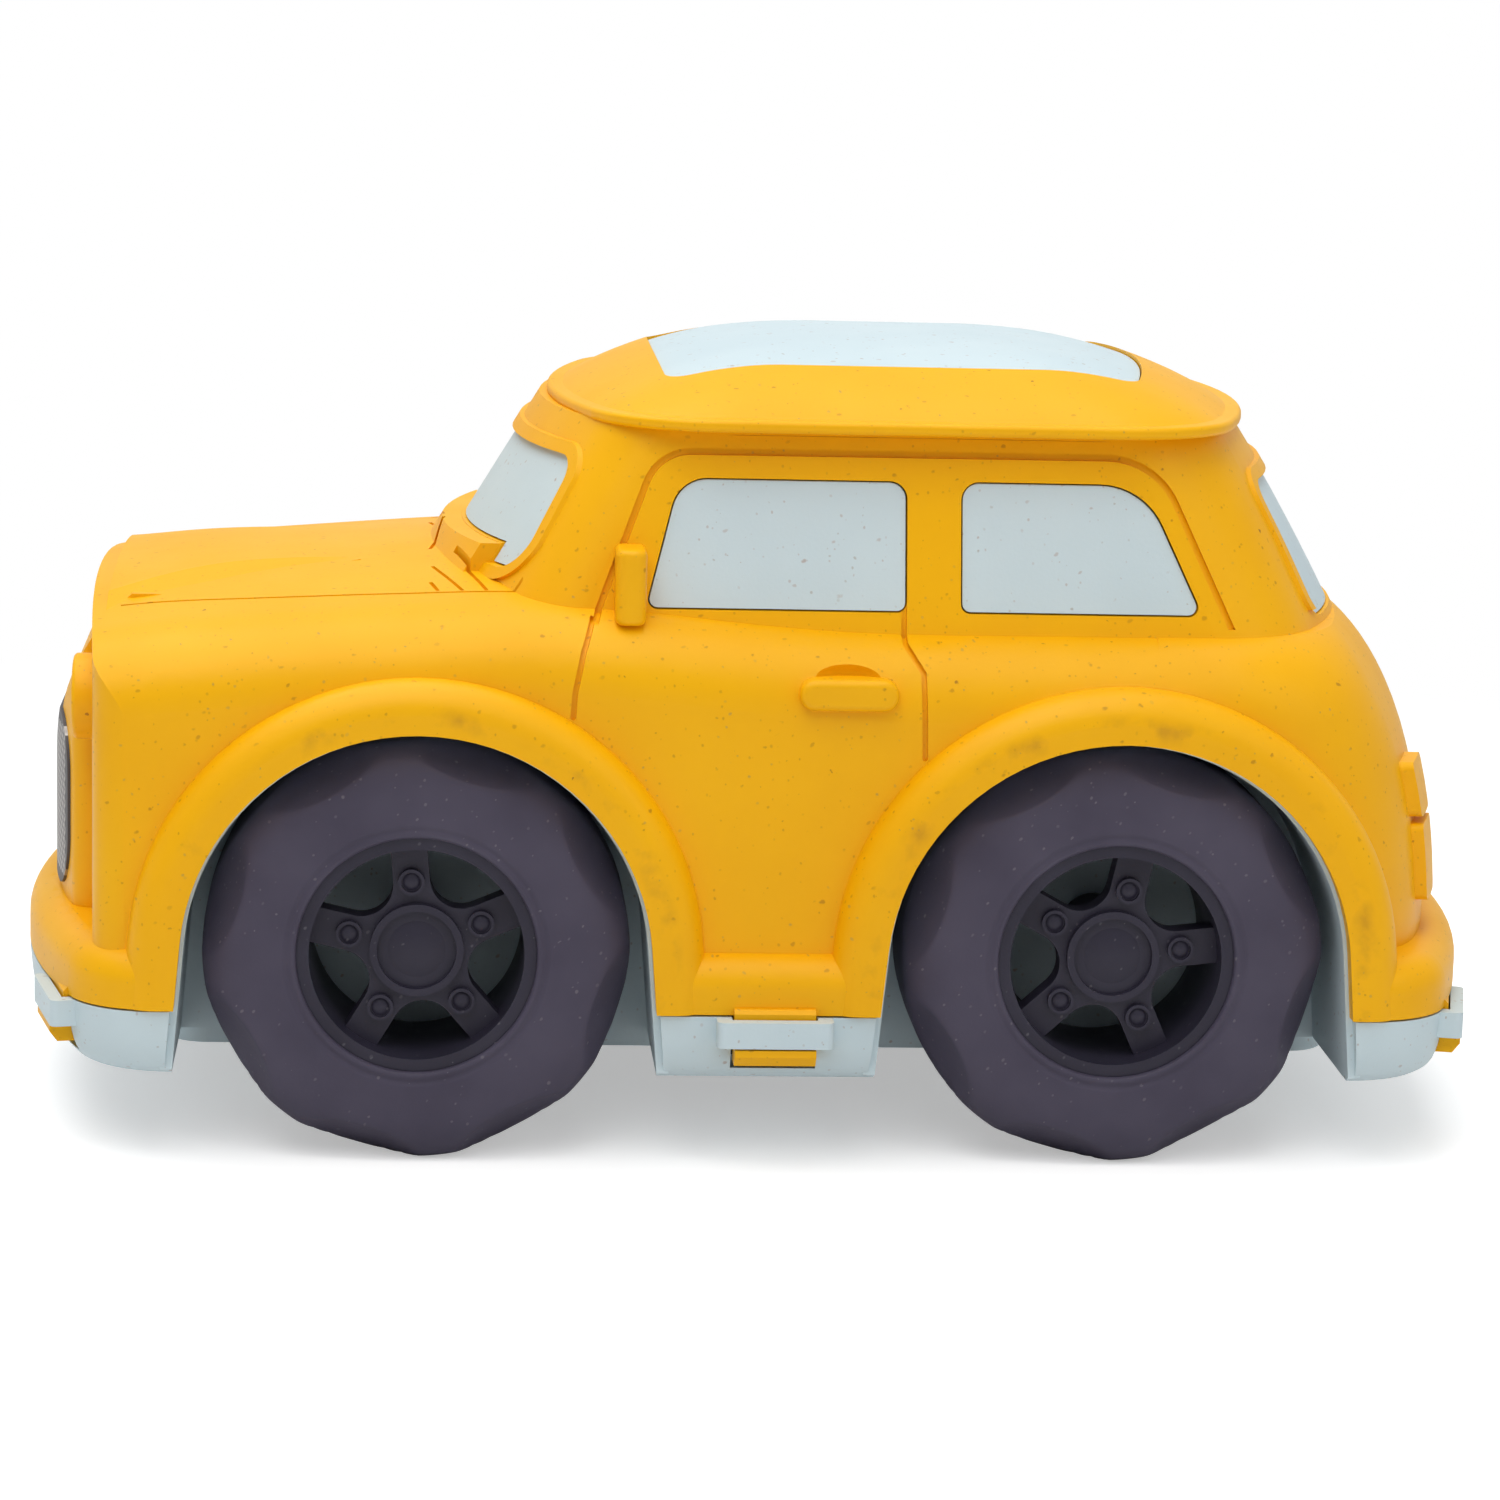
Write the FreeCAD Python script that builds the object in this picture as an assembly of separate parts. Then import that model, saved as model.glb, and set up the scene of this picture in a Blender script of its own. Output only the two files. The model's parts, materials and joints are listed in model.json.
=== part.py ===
"""Pull back car: a moulded toy car of bioplastic, with a body that clips on and a wind-up motor.

Frame: the origin is on the floor under the middle of the car.  +X runs from the nose to the
tail, +Z is up, and the car's own left side faces -Y.  All sizes are in millimetres.
"""
import FreeCAD
import Part
import math
import os

V = FreeCAD.Vector

# ---------------------------------------------------------------- driving dimensions
# overall
half_length = 74.5            # middle of the car to the front or rear bumper
skirt_half_width = 39.5       # middle of the car to the face of the sill and bumpers
split_z = 15.5                # parting height between the body shell and the chassis
split_gap = 0.2
body_wall = 1.8
chassis_wall = 1.8

# bumpers and sill
bumper_crown = 95.0           # plan radius of the bumper face
bumper_corner = 9.0           # plan radius of the bumper corners
skirt_top = 21.4
skirt_round = 3.2

# lower body
side_half_width = 37.0
fender_front_x = -67.4
fender_corner = 3.5
shoulder_height = 8.0
loft_join_x = 38.0            # the long front loft meets the rounded tail here
rear_corner = 15.0
rear_crown = 80.0

# cabin
cabin_base_z = 50.0
cabin_top_z = 72.0
cabin_front_base = -35.6
cabin_front_top = -22.4
cabin_rear_base = 62.0
cabin_rear_top = 49.1
cabin_half_base = 32.0
cabin_half_top = 27.4
cabin_crown = 53.0
cabin_rear_bulge = 0.45       # how far the sloping rear of the cabin bows out at mid height
cabin_front_corner = 8.0
cabin_rear_corner = 12.0

# roof
rail_bottom = 71.8
rail_top = 73.0
rail_front = -21.6
rail_rear = 50.0
rail_half_width = 31.0
rail_corner = 13.0
roof_top = 79.5
panel_front = -11.0
panel_rear = 39.4
panel_half_width = 20.3
panel_corner = 2.5

# axles and wheels
axle_x = 34.4                 # both axles stand this far from the middle
axle_radius = 1.25
running_clearance = 0.05
tyre_radius = 20.9
tyre_face = 38.0              # outer side wall, from the middle of the car
tyre_width = 16.0
rim_radius = 11.7
tyre_shoulder_radius = 15.8
scoop_count = 8
spoke_count = 5
front_spoke_turn = -5.0
rear_spoke_turn = 11.6
tyre_turn = 16.0

# wheel arches
arch_radius = 22.95
flare_radius = 28.1
flare_half_width = 40.0
flare_round = 3.2
arch_centre_z = 20.2
arch_splay = 5.0              # the legs of the arch lean outward by this many degrees

# chassis
belly_z = 7.4
chin_z = 8.9
floor_top = 10.9
well_inner_y = 20.0
well_wall = 1.2
liner_gap = 0.35              # the well liner shows this far inside the arch
belly_half_length = 60.0

# windows and the pale insert behind them
pane_recess = 0.3
pane_gap = 0.18
insert_gap = 0.2
insert_wall = 1.4
insert_bottom = 53.4

# motor
gear_module = 0.5
axle_teeth = 12
idler_teeth = 28
idler_pinion_teeth = 10
barrel_teeth = 30
idler_rise = 35.0             # direction of the idler from the axle, degrees above level
barrel_fall = 16.0            # direction of the barrel from the idler, degrees below level
gear_width = 3.0
case_wall = 1.2
case_half_width = 8.5
pin_radius = 1.0

axle_z = tyre_radius
tail_x = half_length
nose_x = -half_length


# ---------------------------------------------------------------- helpers
def box(x0, x1, y0, y1, z0, z1):
    """Box between two corners."""
    return Part.makeBox(x1 - x0, y1 - y0, z1 - z0, V(x0, y0, z0))


def cylinder_y(radius, x, z, y0, y1):
    """Cylinder lying across the car."""
    return Part.makeCylinder(radius, y1 - y0, V(x, y0, z), V(0, 1, 0))


def cylinder_x(radius, y, z, x0, x1):
    """Cylinder lying along the car."""
    return Part.makeCylinder(radius, x1 - x0, V(x0, y, z), V(1, 0, 0))


def mirrored(shape):
    """The same shape on the other side of the car."""
    return shape.mirror(V(0, 0, 0), V(0, 1, 0))


def both_sides(shape):
    """A shape and its mirror image, as one."""
    return shape.fuse(mirrored(shape))


def fused(shapes):
    """All shapes joined into one."""
    return shapes[0].multiFuse(shapes[1:])


def prism(points, direction):
    """Straight extrusion of a closed polygon."""
    wire = Part.makePolygon(points + [points[0]])
    return Part.Face(wire).extrude(direction)


def arc(a, b, c):
    """Arc edge through three points."""
    return Part.Arc(a, b, c).toShape()


def line(a, b):
    """Straight edge."""
    return Part.LineSegment(a, b).toShape()


def end_points(x_end, inward, half_width, crown, corner, z):
    """Tangent points of a crowned end: corner start, corner middle and crown start, on the -Y side."""
    crown_x = x_end + inward * crown
    corner_y = half_width - corner
    reach = math.sqrt((crown - corner) ** 2 - corner_y ** 2)
    corner_x = crown_x - inward * reach
    turn = math.atan2(corner_y, reach)
    side = V(corner_x, -half_width, z)
    start = V(crown_x - inward * crown * math.cos(turn), -crown * math.sin(turn), z)
    half = (math.pi / 2 + turn) / 2
    middle = V(corner_x - inward * corner * math.cos(half), -corner_y - corner * math.sin(half), z)
    return side, middle, start


def flip(point):
    """Mirror point across the middle plane of the car."""
    return V(point.x, -point.y, point.z)


def plan_wire(z, x_front, x_rear, half_width, crowns, corners):
    """Rounded rectangle seen from above, with crowned ends and straight sides."""
    f_side, f_mid, f_start = end_points(x_front, 1, half_width, crowns[0], corners[0], z)
    r_side, r_mid, r_start = end_points(x_rear, -1, half_width, crowns[1], corners[1], z)
    edges = [
        arc(flip(f_start), V(x_front, 0, z), f_start),
        arc(f_start, f_mid, f_side),
        line(f_side, r_side),
        arc(r_side, r_mid, r_start),
        arc(r_start, V(x_rear, 0, z), flip(r_start)),
        arc(flip(r_start), flip(r_mid), flip(r_side)),
        line(flip(r_side), flip(f_side)),
        arc(flip(f_side), flip(f_mid), flip(f_start)),
    ]
    return Part.Wire(edges)


def plan_prism(z0, z1, x_front, x_rear, half_width, crowns, corners):
    """Vertical prism on a plan outline."""
    wire = plan_wire(z0, x_front, x_rear, half_width, crowns, corners)
    return Part.Face(wire).extrude(V(0, 0, z1 - z0))


def tail_wire(z, x_join, x_rear, half_width, crown, corner):
    """Plan outline of the tail behind x_join."""
    r_side, r_mid, r_start = end_points(x_rear, -1, half_width, crown, corner, z)
    join = V(x_join, -half_width, z)
    edges = [
        line(join, r_side),
        arc(r_side, r_mid, r_start),
        arc(r_start, V(x_rear, 0, z), flip(r_start)),
        arc(flip(r_start), flip(r_mid), flip(r_side)),
        line(flip(r_side), flip(join)),
        line(flip(join), join),
    ]
    return Part.Wire(edges)


def bottom_edges(shape, z):
    """Edges lying in the level plane at z."""
    return [e for e in shape.Edges if abs(e.BoundBox.ZMin - z) < 1e-4 and abs(e.BoundBox.ZMax - z) < 1e-4]


# ---------------------------------------------------------------- lower body
# crest of the fender and shoulder line along the car: (x, height of the crest, width of the shoulder)
crest_line = [(fender_front_x, 51.1, 9.5), (-54.0, 53.0, 9.5), (-40.0, 54.2, 9.5), (-26.0, 55.0, 9.2),
              (-13.0, 54.5, 8.0), (0.0, 53.2, 7.2), (12.7, 52.6, 7.0), (25.3, 52.6, 7.0),
              (loft_join_x, 52.6, 7.0)]
tail_crest = crest_line[-1][1]
tail_shoulder = crest_line[-1][2]
hood_crown = 2.3
# the tail rounds over on an ellipse seen from the side
tail_reach = 71.2
tail_centre_z = 21.0
tail_ellipse_x = 15.5
tail_ellipse_z = 33.0
tail_levels = [split_z, 20.0, 25.0, 30.0, 35.0, 39.0, 42.0, 44.5, 46.8, 48.8, 50.4, 51.6, 52.4]


def cross_section(x, crest, width, inset, z0):
    """Closed outline across the car at x: upright sides, rounded shoulders and a crowned top."""
    side = side_half_width - inset
    inner = side_half_width - width - inset * 0.4
    top = crest - inset
    low = crest - shoulder_height - inset * 0.4
    lean = 2 * hood_crown / inner
    shoulder = Part.BSplineCurve()
    mid = V(x, -inner - (side - inner) * 0.70, low + (top - low) * 0.72)
    points = [V(x, -side, low), mid, V(x, -inner, top)]
    shoulder.interpolate(Points=points, InitialTangent=V(0, 0, 1), FinalTangent=V(0, 1, lean * 0.7))
    far = Part.BSplineCurve()
    far_points = [flip(p) for p in reversed(points)]
    far.interpolate(Points=far_points, InitialTangent=V(0, 1, -lean * 0.7), FinalTangent=V(0, 0, -1))
    edges = [
        line(V(x, side, z0), V(x, -side, z0)),
        line(V(x, -side, z0), V(x, -side, low)),
        shoulder.toShape(),
        arc(V(x, -inner, top), V(x, 0, top + hood_crown), V(x, inner, top)),
        far.toShape(),
        line(V(x, side, low), V(x, side, z0)),
    ]
    return Part.Wire(edges)


def tail_half_width(z, inset):
    """Half width of the tail at a height, on the shoulder's curve."""
    side = side_half_width - inset
    low = tail_crest - shoulder_height - inset * 0.4
    if z <= low:
        return side
    inner = side_half_width - tail_shoulder - inset * 0.4
    up = (z - low) / (tail_crest - inset - low)
    return inner + (side - inner) * math.sqrt(max(0.0, 1 - min(1.0, up) ** 2))


def tail_x_at(z):
    """Rearmost point of the body at a height, in the middle plane."""
    up = max(0.0, z - tail_centre_z) / tail_ellipse_z
    return tail_reach - tail_ellipse_x * (1 - math.sqrt(1 - up * up))


def lower_form(inset, z0):
    """Lower body without nose, bumpers or flares, drawn in by inset."""
    sections = []
    for x, crest, width in crest_line:
        station = x + inset if x == fender_front_x else x
        sections.append(cross_section(station, crest, width, inset, z0))
    front = Part.makeLoft(sections, True)
    corner = plan_prism(z0 - 1, 70, fender_front_x + inset, 90, side_half_width - inset + 0.01,
                        (400.0, 400.0), (max(fender_corner - inset, 0.8), 5.0))
    front = front.common(corner)
    outlines = []
    for level in tail_levels:
        z = z0 if level == split_z else level - inset * level / tail_crest
        outlines.append(tail_wire(z, loft_join_x, tail_x_at(level) - inset, tail_half_width(z, inset),
                                  rear_crown, rear_corner - inset))
    tail = Part.makeLoft(outlines, True)
    return front, tail


# ---------------------------------------------------------------- nose, bumpers and flares
nose_front = -71.5
nose_half_width = 20.5
nose_plan_radius = 75.0
# side profile of the nose from the bumper up to the hood: (x, height)
nose_profile = [(-71.2, 19.0), (-71.45, 28.0), (-71.2, 35.0), (-70.3, 41.0), (-67.4, 48.2), (-63.0, 53.4)]


def nose_form(inset):
    """Bulged nose that carries the grille, drawn in by inset."""
    face = Part.BSplineCurve()
    face.interpolate([V(x + inset, -40, z) for x, z in nose_profile])
    top = V(nose_profile[-1][0] + inset, -40, nose_profile[-1][1])
    foot = V(nose_profile[0][0] + inset, -40, nose_profile[0][1])
    back_top = V(-58, -40, top.z)
    back_foot = V(-58, -40, foot.z)
    side = Part.Wire([face.toShape(), line(top, back_top), line(back_top, back_foot), line(back_foot, foot)])
    side_prism = Part.Face(side).extrude(V(0, 80, 0))
    plan = plan_prism(10, 60, nose_front + inset, -50, nose_half_width - inset, (nose_plan_radius, 400.0),
                      (2.2, 2.0))
    return side_prism.common(plan)


def skirt_form(inset, z0, z1):
    """Bumper and sill outline as an upright prism."""
    return plan_prism(z0, z1, nose_x + inset, tail_x - inset, skirt_half_width - inset,
                      (bumper_crown - inset, bumper_crown - inset),
                      (bumper_corner - inset, bumper_corner - inset))


def arch_form(radius, x, y0, y1, z0):
    """Inverted U: part of a disc on two straight, slightly splayed legs, lying across the car."""
    lean = math.radians(arch_splay)
    turn_x = radius * math.cos(lean)
    turn_z = arch_centre_z + radius * math.sin(lean)
    foot_x = turn_x + (turn_z - z0) * math.tan(lean)
    disc = cylinder_y(radius, x, arch_centre_z, y0, y1)
    legs = prism([V(x - foot_x, y0, z0), V(x - turn_x, y0, turn_z), V(x + turn_x, y0, turn_z),
                  V(x + foot_x, y0, z0)], V(0, y1 - y0, 0))
    top = box(x - radius - 1, x + radius + 1, y0, y1, turn_z, arch_centre_z + radius + 1)
    return disc.common(top).fuse(legs).removeSplitter()


def flare(x):
    """Rounded flare round one wheel arch on the -Y side, solid inside."""
    form = arch_form(flare_radius, x, -flare_half_width, -30, split_z)
    outer = [e for e in form.Edges
             if abs(e.BoundBox.YMin + flare_half_width) < 1e-4 and abs(e.BoundBox.YMax + flare_half_width) < 1e-4
             and e.BoundBox.ZMax > split_z + 1]
    return form.makeFillet(flare_round, outer)


# ---------------------------------------------------------------- cabin and roof
def cabin_slope(z, base, top):
    """Straight taper of the cabin between its base and the roof rail."""
    up = (z - cabin_base_z) / (cabin_top_z - cabin_base_z)
    return base + (top - base) * up


def cabin_wire(z, inset):
    """Cabin outline at a height."""
    up = (z - cabin_base_z) / (cabin_top_z - cabin_base_z)
    bulge = cabin_rear_bulge * (1 - (2 * up - 1) ** 2)
    return plan_wire(z, cabin_slope(z, cabin_front_base, cabin_front_top) + inset,
                     cabin_slope(z, cabin_rear_base, cabin_rear_top) + bulge - inset,
                     cabin_slope(z, cabin_half_base, cabin_half_top) - inset,
                     (cabin_crown, cabin_crown),
                     (cabin_front_corner - inset, cabin_rear_corner - inset))


def cabin_form(inset, z0=cabin_base_z, z1=cabin_top_z):
    """Tapered cabin between two heights."""
    return Part.makeLoft([cabin_wire(z0, inset), cabin_wire((z0 + z1) / 2, inset), cabin_wire(z1, inset)], True)


# crowned roof: (height above the rail as a share of the rise, share of the half length and width left)
dome_steps = [(0.0, 1.0, 1.0), (0.27, 0.905, 0.90), (0.50, 0.80, 0.79), (0.70, 0.68, 0.68),
              (0.86, 0.52, 0.54), (0.96, 0.32, 0.33), (1.0, 0.10, 0.12)]
dome_margin = 1.6


def roof_dome(inset):
    """Crowned roof above the rail, drawn in by inset."""
    centre = (rail_front + rail_rear) / 2
    half = (rail_rear - rail_front) / 2 - dome_margin
    width = rail_half_width - dome_margin
    rise = roof_top - rail_top
    outlines = []
    for up, long_share, wide_share in dome_steps:
        reach = half * long_share - inset
        w = width * wide_share - inset
        if w < 1.5:
            continue
        outlines.append(plan_wire(rail_top + rise * up - inset, centre - reach, centre + reach, w,
                                  (w * 2.2, w * 2.2), (w * 0.42, w * 0.42)))
    return Part.makeLoft(outlines, True)


def rail():
    """Gutter rail all round the roof."""
    crown = rail_half_width * 2.2
    ring = plan_prism(rail_bottom, rail_top, rail_front, rail_rear, rail_half_width, (crown, crown),
                      (rail_corner, rail_corner))
    rim = bottom_edges(ring, rail_top) + bottom_edges(ring, rail_bottom)
    return ring.makeFillet(0.45, rim)


# ---------------------------------------------------------------- windows
# side panes seen from the side: corners as (x, height, corner radius)
front_pane = [(-12.6, 54.35, 1.0), (13.2, 54.35, 1.0), (13.1, 67.05, 1.8), (-9.4, 67.05, 3.6)]
rear_pane = [(18.5, 54.35, 1.0), (42.7, 54.35, 1.0), (36.6, 67.1, 7.0), (18.4, 67.1, 1.8)]
door_frame = [(-18.7, 51.0, 0.5), (-11.7, 69.9, 5.0), (37.9, 70.0, 8.0), (47.1, 50.6, 0.5)]
# windscreen and rear pane seen along the car: corners as (y, height, corner radius)
windscreen = [(-25.8, 57.0, 3.0), (25.8, 57.0, 3.0), (23.9, 68.3, 3.0), (-23.9, 68.3, 3.0)]
rear_window = [(-22.5, 53.1, 2.2), (22.5, 53.1, 2.2), (20.2, 66.6, 2.6), (-20.2, 66.6, 2.6)]
# raised block across the foot of the windscreen
cowl_half_width = 19.5
cowl_thick = 2.0
cowl_top = 58.9
cowl_edge = 0.1               # the windscreen opening keeps this far from the block


def rounded_face(corners, place, grow=0.0):
    """Face of a polygon with rounded corners, grown outward by grow; place makes a point of (u, v)."""
    count = len(corners)
    centre_u = sum(c[0] for c in corners) / count
    centre_v = sum(c[1] for c in corners) / count
    turn = 1 if sum(corners[i - 1][0] * corners[i][1] - corners[i][0] * corners[i - 1][1]
                    for i in range(count)) > 0 else -1
    moved = []
    for i in range(count):
        before = corners[i - 1]
        here = corners[i]
        after = corners[(i + 1) % count]
        a = V(here[0] - before[0], here[1] - before[1], 0).normalize()
        b = V(after[0] - here[0], after[1] - here[1], 0).normalize()
        normal_a = V(a.y, -a.x, 0) * turn
        normal_b = V(b.y, -b.x, 0) * turn
        push = (normal_a + normal_b) * (grow / (1 + normal_a.dot(normal_b)))
        moved.append((V(here[0], here[1], 0) + push, max(here[2] + grow, 0.2)))
    edges = []
    ends = []
    for i in range(count):
        before = moved[i - 1][0]
        here, radius = moved[i]
        after = moved[(i + 1) % count][0]
        a = (before - here).normalize()
        b = (after - here).normalize()
        half = a.getAngle(b) / 2
        reach = radius / math.tan(half)
        middle_way = (a + b).normalize()
        centre = here + middle_way * (radius / math.sin(half))
        start = here + a * reach
        stop = here + b * reach
        middle = centre - middle_way * radius
        ends.append((start, middle, stop))
    for i in range(count):
        start, middle, stop = ends[i]
        following = ends[(i + 1) % count][0]
        points = [place(p.x, p.y) for p in (start, middle, stop, following)]
        edges.append(arc(points[0], points[1], points[2]))
        edges.append(line(points[2], points[3]))
    return Part.Face(Part.Wire(edges))


def side_prism(corners, y0, y1, grow=0.0):
    """Prism across the car on an outline seen from the side."""
    face = rounded_face(corners, lambda u, v: V(u, y0, v), grow)
    return face.extrude(V(0, y1 - y0, 0))


def end_prism(corners, x0, x1, grow=0.0):
    """Prism along the car on an outline seen from the front."""
    face = rounded_face(corners, lambda u, v: V(x0, u, v), grow)
    return face.extrude(V(x1 - x0, 0, 0))


def windscreen_prism(x0, x1, grow):
    """Prism through the windscreen, stopping short of the block at its foot."""
    notch = cowl_edge - grow
    block = box(x0 - 1, x1 + 1, -cowl_half_width - notch, cowl_half_width + notch, 50, cowl_top + notch)
    return end_prism(windscreen, x0, x1, grow).cut(block)


def pane_prisms(grow):
    """Prisms through every window and the roof panel, grown by grow."""
    panel_crown = 81.0
    panel = plan_prism(74, 85, panel_front - grow, panel_rear + grow, panel_half_width + grow,
                       (panel_crown * 4, panel_crown), (panel_corner + grow, panel_corner + grow))
    return [
        side_prism(front_pane, -40, -20, grow),
        side_prism(rear_pane, -40, -20, grow),
        side_prism(front_pane, 20, 40, grow),
        side_prism(rear_pane, 20, 40, grow),
        windscreen_prism(-45, -8, grow),
        end_prism(rear_window, 30, 75, grow),
        panel,
    ]


# ---------------------------------------------------------------- snap latches
latch_width = 11.4
latch_bar = 1.3
latch_reach = 2.4
latch_top = 15.5
latch_bottom = 12.9
tongue_width = 8.0
tongue_thick = 1.4
tongue_rise = 0.9             # the tongue shows this far above the parting line
hook_bottom = 11.0
latch_gap = 0.2
corner_latch_turn = 13.0
corner_latch_y = 29.5
side_latch_x = 0.6


def latch_places():
    """Centre on the chassis face and outward direction of the six latches."""
    corner_centre = skirt_half_width - bumper_corner
    crown_centre = half_length - bumper_crown
    reach = math.sqrt((bumper_crown - bumper_corner) ** 2 - corner_centre ** 2)
    corner_x = crown_centre + reach
    face_x = corner_x + math.sqrt(bumper_corner ** 2 - (corner_latch_y - corner_centre) ** 2)
    places = []
    for side in (-1, 1):
        places.append((V(side_latch_x, side * skirt_half_width, 0), side * 90.0))
        places.append((V(face_x, side * corner_latch_y, 0), side * corner_latch_turn))
        places.append((V(-face_x, side * corner_latch_y, 0), 180 - side * corner_latch_turn))
    return places


def placed(shape, centre, direction):
    """Shape built at the origin facing +X, turned to a direction and moved to its place."""
    copy = shape.copy()
    copy.rotate(V(0, 0, 0), V(0, 0, 1), direction)
    copy.translate(centre)
    return copy


def latch_loop():
    """Loop on the chassis that the body's hook snaps behind."""
    outer = box(-1.0, latch_reach, -latch_width / 2, latch_width / 2, latch_bottom, latch_top)
    upright = [e for e in outer.Edges if e.BoundBox.ZLength > 1 and e.BoundBox.XMin > 0]
    outer = outer.makeFillet(0.7, upright)
    hole = box(-2.0, latch_reach - latch_bar, -tongue_width / 2 - latch_gap, tongue_width / 2 + latch_gap,
               latch_bottom - 1, latch_top + 1)
    return outer.cut(hole)


def latch_notch():
    """Slot through the chassis wall and floor that the tongue passes down."""
    return box(-3.2, 4, -tongue_width / 2 - latch_gap, tongue_width / 2 + latch_gap, 10.1, latch_top + 1)


def latch_tongue():
    """Tongue on the body with a ramped hook at its foot."""
    face = latch_reach - latch_bar - latch_gap
    inner = face - tongue_thick
    tip = latch_reach - 0.15
    root = -body_wall + 0.2
    top = split_z + tongue_rise
    corners = [(root, top), (root, split_z - 0.6), (inner, split_z - 1.8), (inner, hook_bottom),
               (face + 0.6, hook_bottom), (tip, latch_bottom - 0.9), (tip, latch_bottom - latch_gap),
               (face, latch_bottom - latch_gap), (face, top - 0.4), (face - 0.4, top)]
    profile = [V(x, -tongue_width / 2, z) for x, z in corners]
    return prism(profile, V(0, tongue_width, 0))


# ---------------------------------------------------------------- details on the body
groove_width = 0.55
groove_depth = 0.5
frame_groove = 0.67
headlamp_y = 25.2
headlamp_z = 43.9
headlamp_radius = 4.25
headlamp_face_x = -68.4
sticker_thick = 0.3
handle = (2.3, 12.0, 45.7, 48.8)        # x0, x1, z0, z1
handle_stand = 1.3
mirror = (-15.6, -12.6, 53.2, 60.6)
mirror_stand = 3.4
frame_bead = 0.5
frame_bead_width = 1.2
# raised middle of the hood with sloping flanks: (x, half width at the foot, half width on top, rise)
hood_ridge = [(-65.4, 24.4, 19.0, 0.85), (-60.9, 21.3, 15.6, 0.8), (-55.8, 18.0, 12.9, 0.7),
              (-50.6, 14.6, 11.4, 0.5), (-45.6, 12.8, 10.9, 0.25), (-40.5, 11.8, 10.7, -0.1)]
ridge_root = 0.8              # the flanks run on this far inside the hood
ridge_floor = 48.0
# shut line between the hood and the fender, and the wiper recesses: (x, y) on the left side
hood_line = [(-64.0, -22.6), (-60.8, -23.0), (-50.9, -24.4), (-34.5, -26.2), (-24.6, -26.7)]
wiper_lines = [[(-33.5, -22.9), (-32.8, -25.6)], [(-33.3, -17.1), (-30.4, -25.8)],
               [(-31.0, -14.6), (-28.0, -26.0)], [(-33.5, -9.4), (-32.1, -1.2)]]
hood_line_width = 0.4
hood_line_depth = 0.4
tail_lamp_y = (20.6, 27.4)
tail_lamp_levels = [(25.1, 33.0), (33.7, 39.3)]
tail_lamp_stand = 1.2
grille_outline = [(-18.2, 22.3, 6.0), (18.2, 22.3, 6.0), (18.2, 40.4, 6.0), (-18.2, 40.4, 6.0)]


def band(points, y0, y1):
    """Groove cutter: a narrow strip on a zigzag line seen from the side, across the car from y0 to y1."""
    pieces = []
    for a, b in zip(points, points[1:]):
        along = V(b[0] - a[0], 0, b[1] - a[1]).normalize()
        across = V(-along.z, 0, along.x) * (groove_width / 2)
        p = V(a[0], y0, a[1])
        q = V(b[0], y0, b[1])
        strip = prism([p - across, q - across, q + across, p + across], V(0, y1 - y0, 0))
        pieces.append(strip.fuse(cylinder_y(groove_width / 2, b[0], b[1], y0, y1)))
    return fused(pieces)


def plan_band(points, width):
    """Groove cutter: a narrow upright strip on a zigzag line seen from above."""
    pieces = []
    for a, b in zip(points, points[1:]):
        along = V(b[0] - a[0], b[1] - a[1], 0).normalize()
        across = V(-along.y, along.x, 0) * (width / 2)
        p = V(a[0], a[1], cabin_base_z)
        q = V(b[0], b[1], cabin_base_z)
        strip = prism([p - across, q - across, q + across, p + across], V(0, 0, 12))
        pieces.append(strip.fuse(Part.makeCylinder(width / 2, 12, q)))
    return fused(pieces)


def hood_cutters():
    """Shut lines between hood and fenders and the wiper recesses, on both sides."""
    strips = plan_band(hood_line, hood_line_width)
    for points in wiper_lines:
        strips = strips.fuse(plan_band(points, hood_line_width))
    strips = both_sides(strips)
    return strips.cut([lower_form(hood_line_depth, 10)[0]])


def groove_cutters():
    """Shut lines of the door and the frame round its windows, on both sides."""
    front_line = [(-17.7, 53.8), (-18.7, 50.7), (-19.45, 47.1), (-19.6, 44.6)]
    rear_line = [(12.9, 57.0), (12.9, 51.6), (14.5, 49.2), (14.8, 41.0)]
    strips = band(front_line, -45, -25)
    strips = strips.fuse(band(rear_line, -45, -25))
    frame = side_prism(door_frame, -40, -24).cut(side_prism(door_frame, -41, -23, -frame_groove))
    frame = frame.cut(box(-60, 60, -50, 0, 40, 53.2))
    strips = strips.fuse(frame)
    front, tail = lower_form(groove_depth, 10)
    strips = strips.cut([front])
    strips = strips.cut([cabin_form(groove_depth)])
    return both_sides(strips)


def headlamp_bezel():
    """Round bezel with a shallow seat for its sticker."""
    bezel = cylinder_x(headlamp_radius, -headlamp_y, headlamp_z, headlamp_face_x, -64.5)
    rim = [e for e in bezel.Edges if abs(e.BoundBox.XMax - headlamp_face_x) < 1e-4]
    bezel = bezel.makeFillet(0.45, rim)
    seat = cylinder_x(headlamp_radius - 0.7, -headlamp_y, headlamp_z, headlamp_face_x - 1,
                      headlamp_face_x + sticker_thick)
    return bezel.cut(seat)


def door_handle():
    """Rounded pull on the door, standing proud of the panel."""
    x0, x1, z0, z1 = handle
    face = side_half_width + handle_stand
    bar = box(x0, x1, -face, -face + 4, z0, z1)
    upright = [e for e in bar.Edges if e.BoundBox.YLength > 1]
    bar = bar.makeFillet((z1 - z0) / 2 - 0.05, upright)
    rim = [e for e in bar.Edges if abs(e.BoundBox.YMax + face) < 1e-4]
    return bar.makeFillet(0.7, rim)


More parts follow.
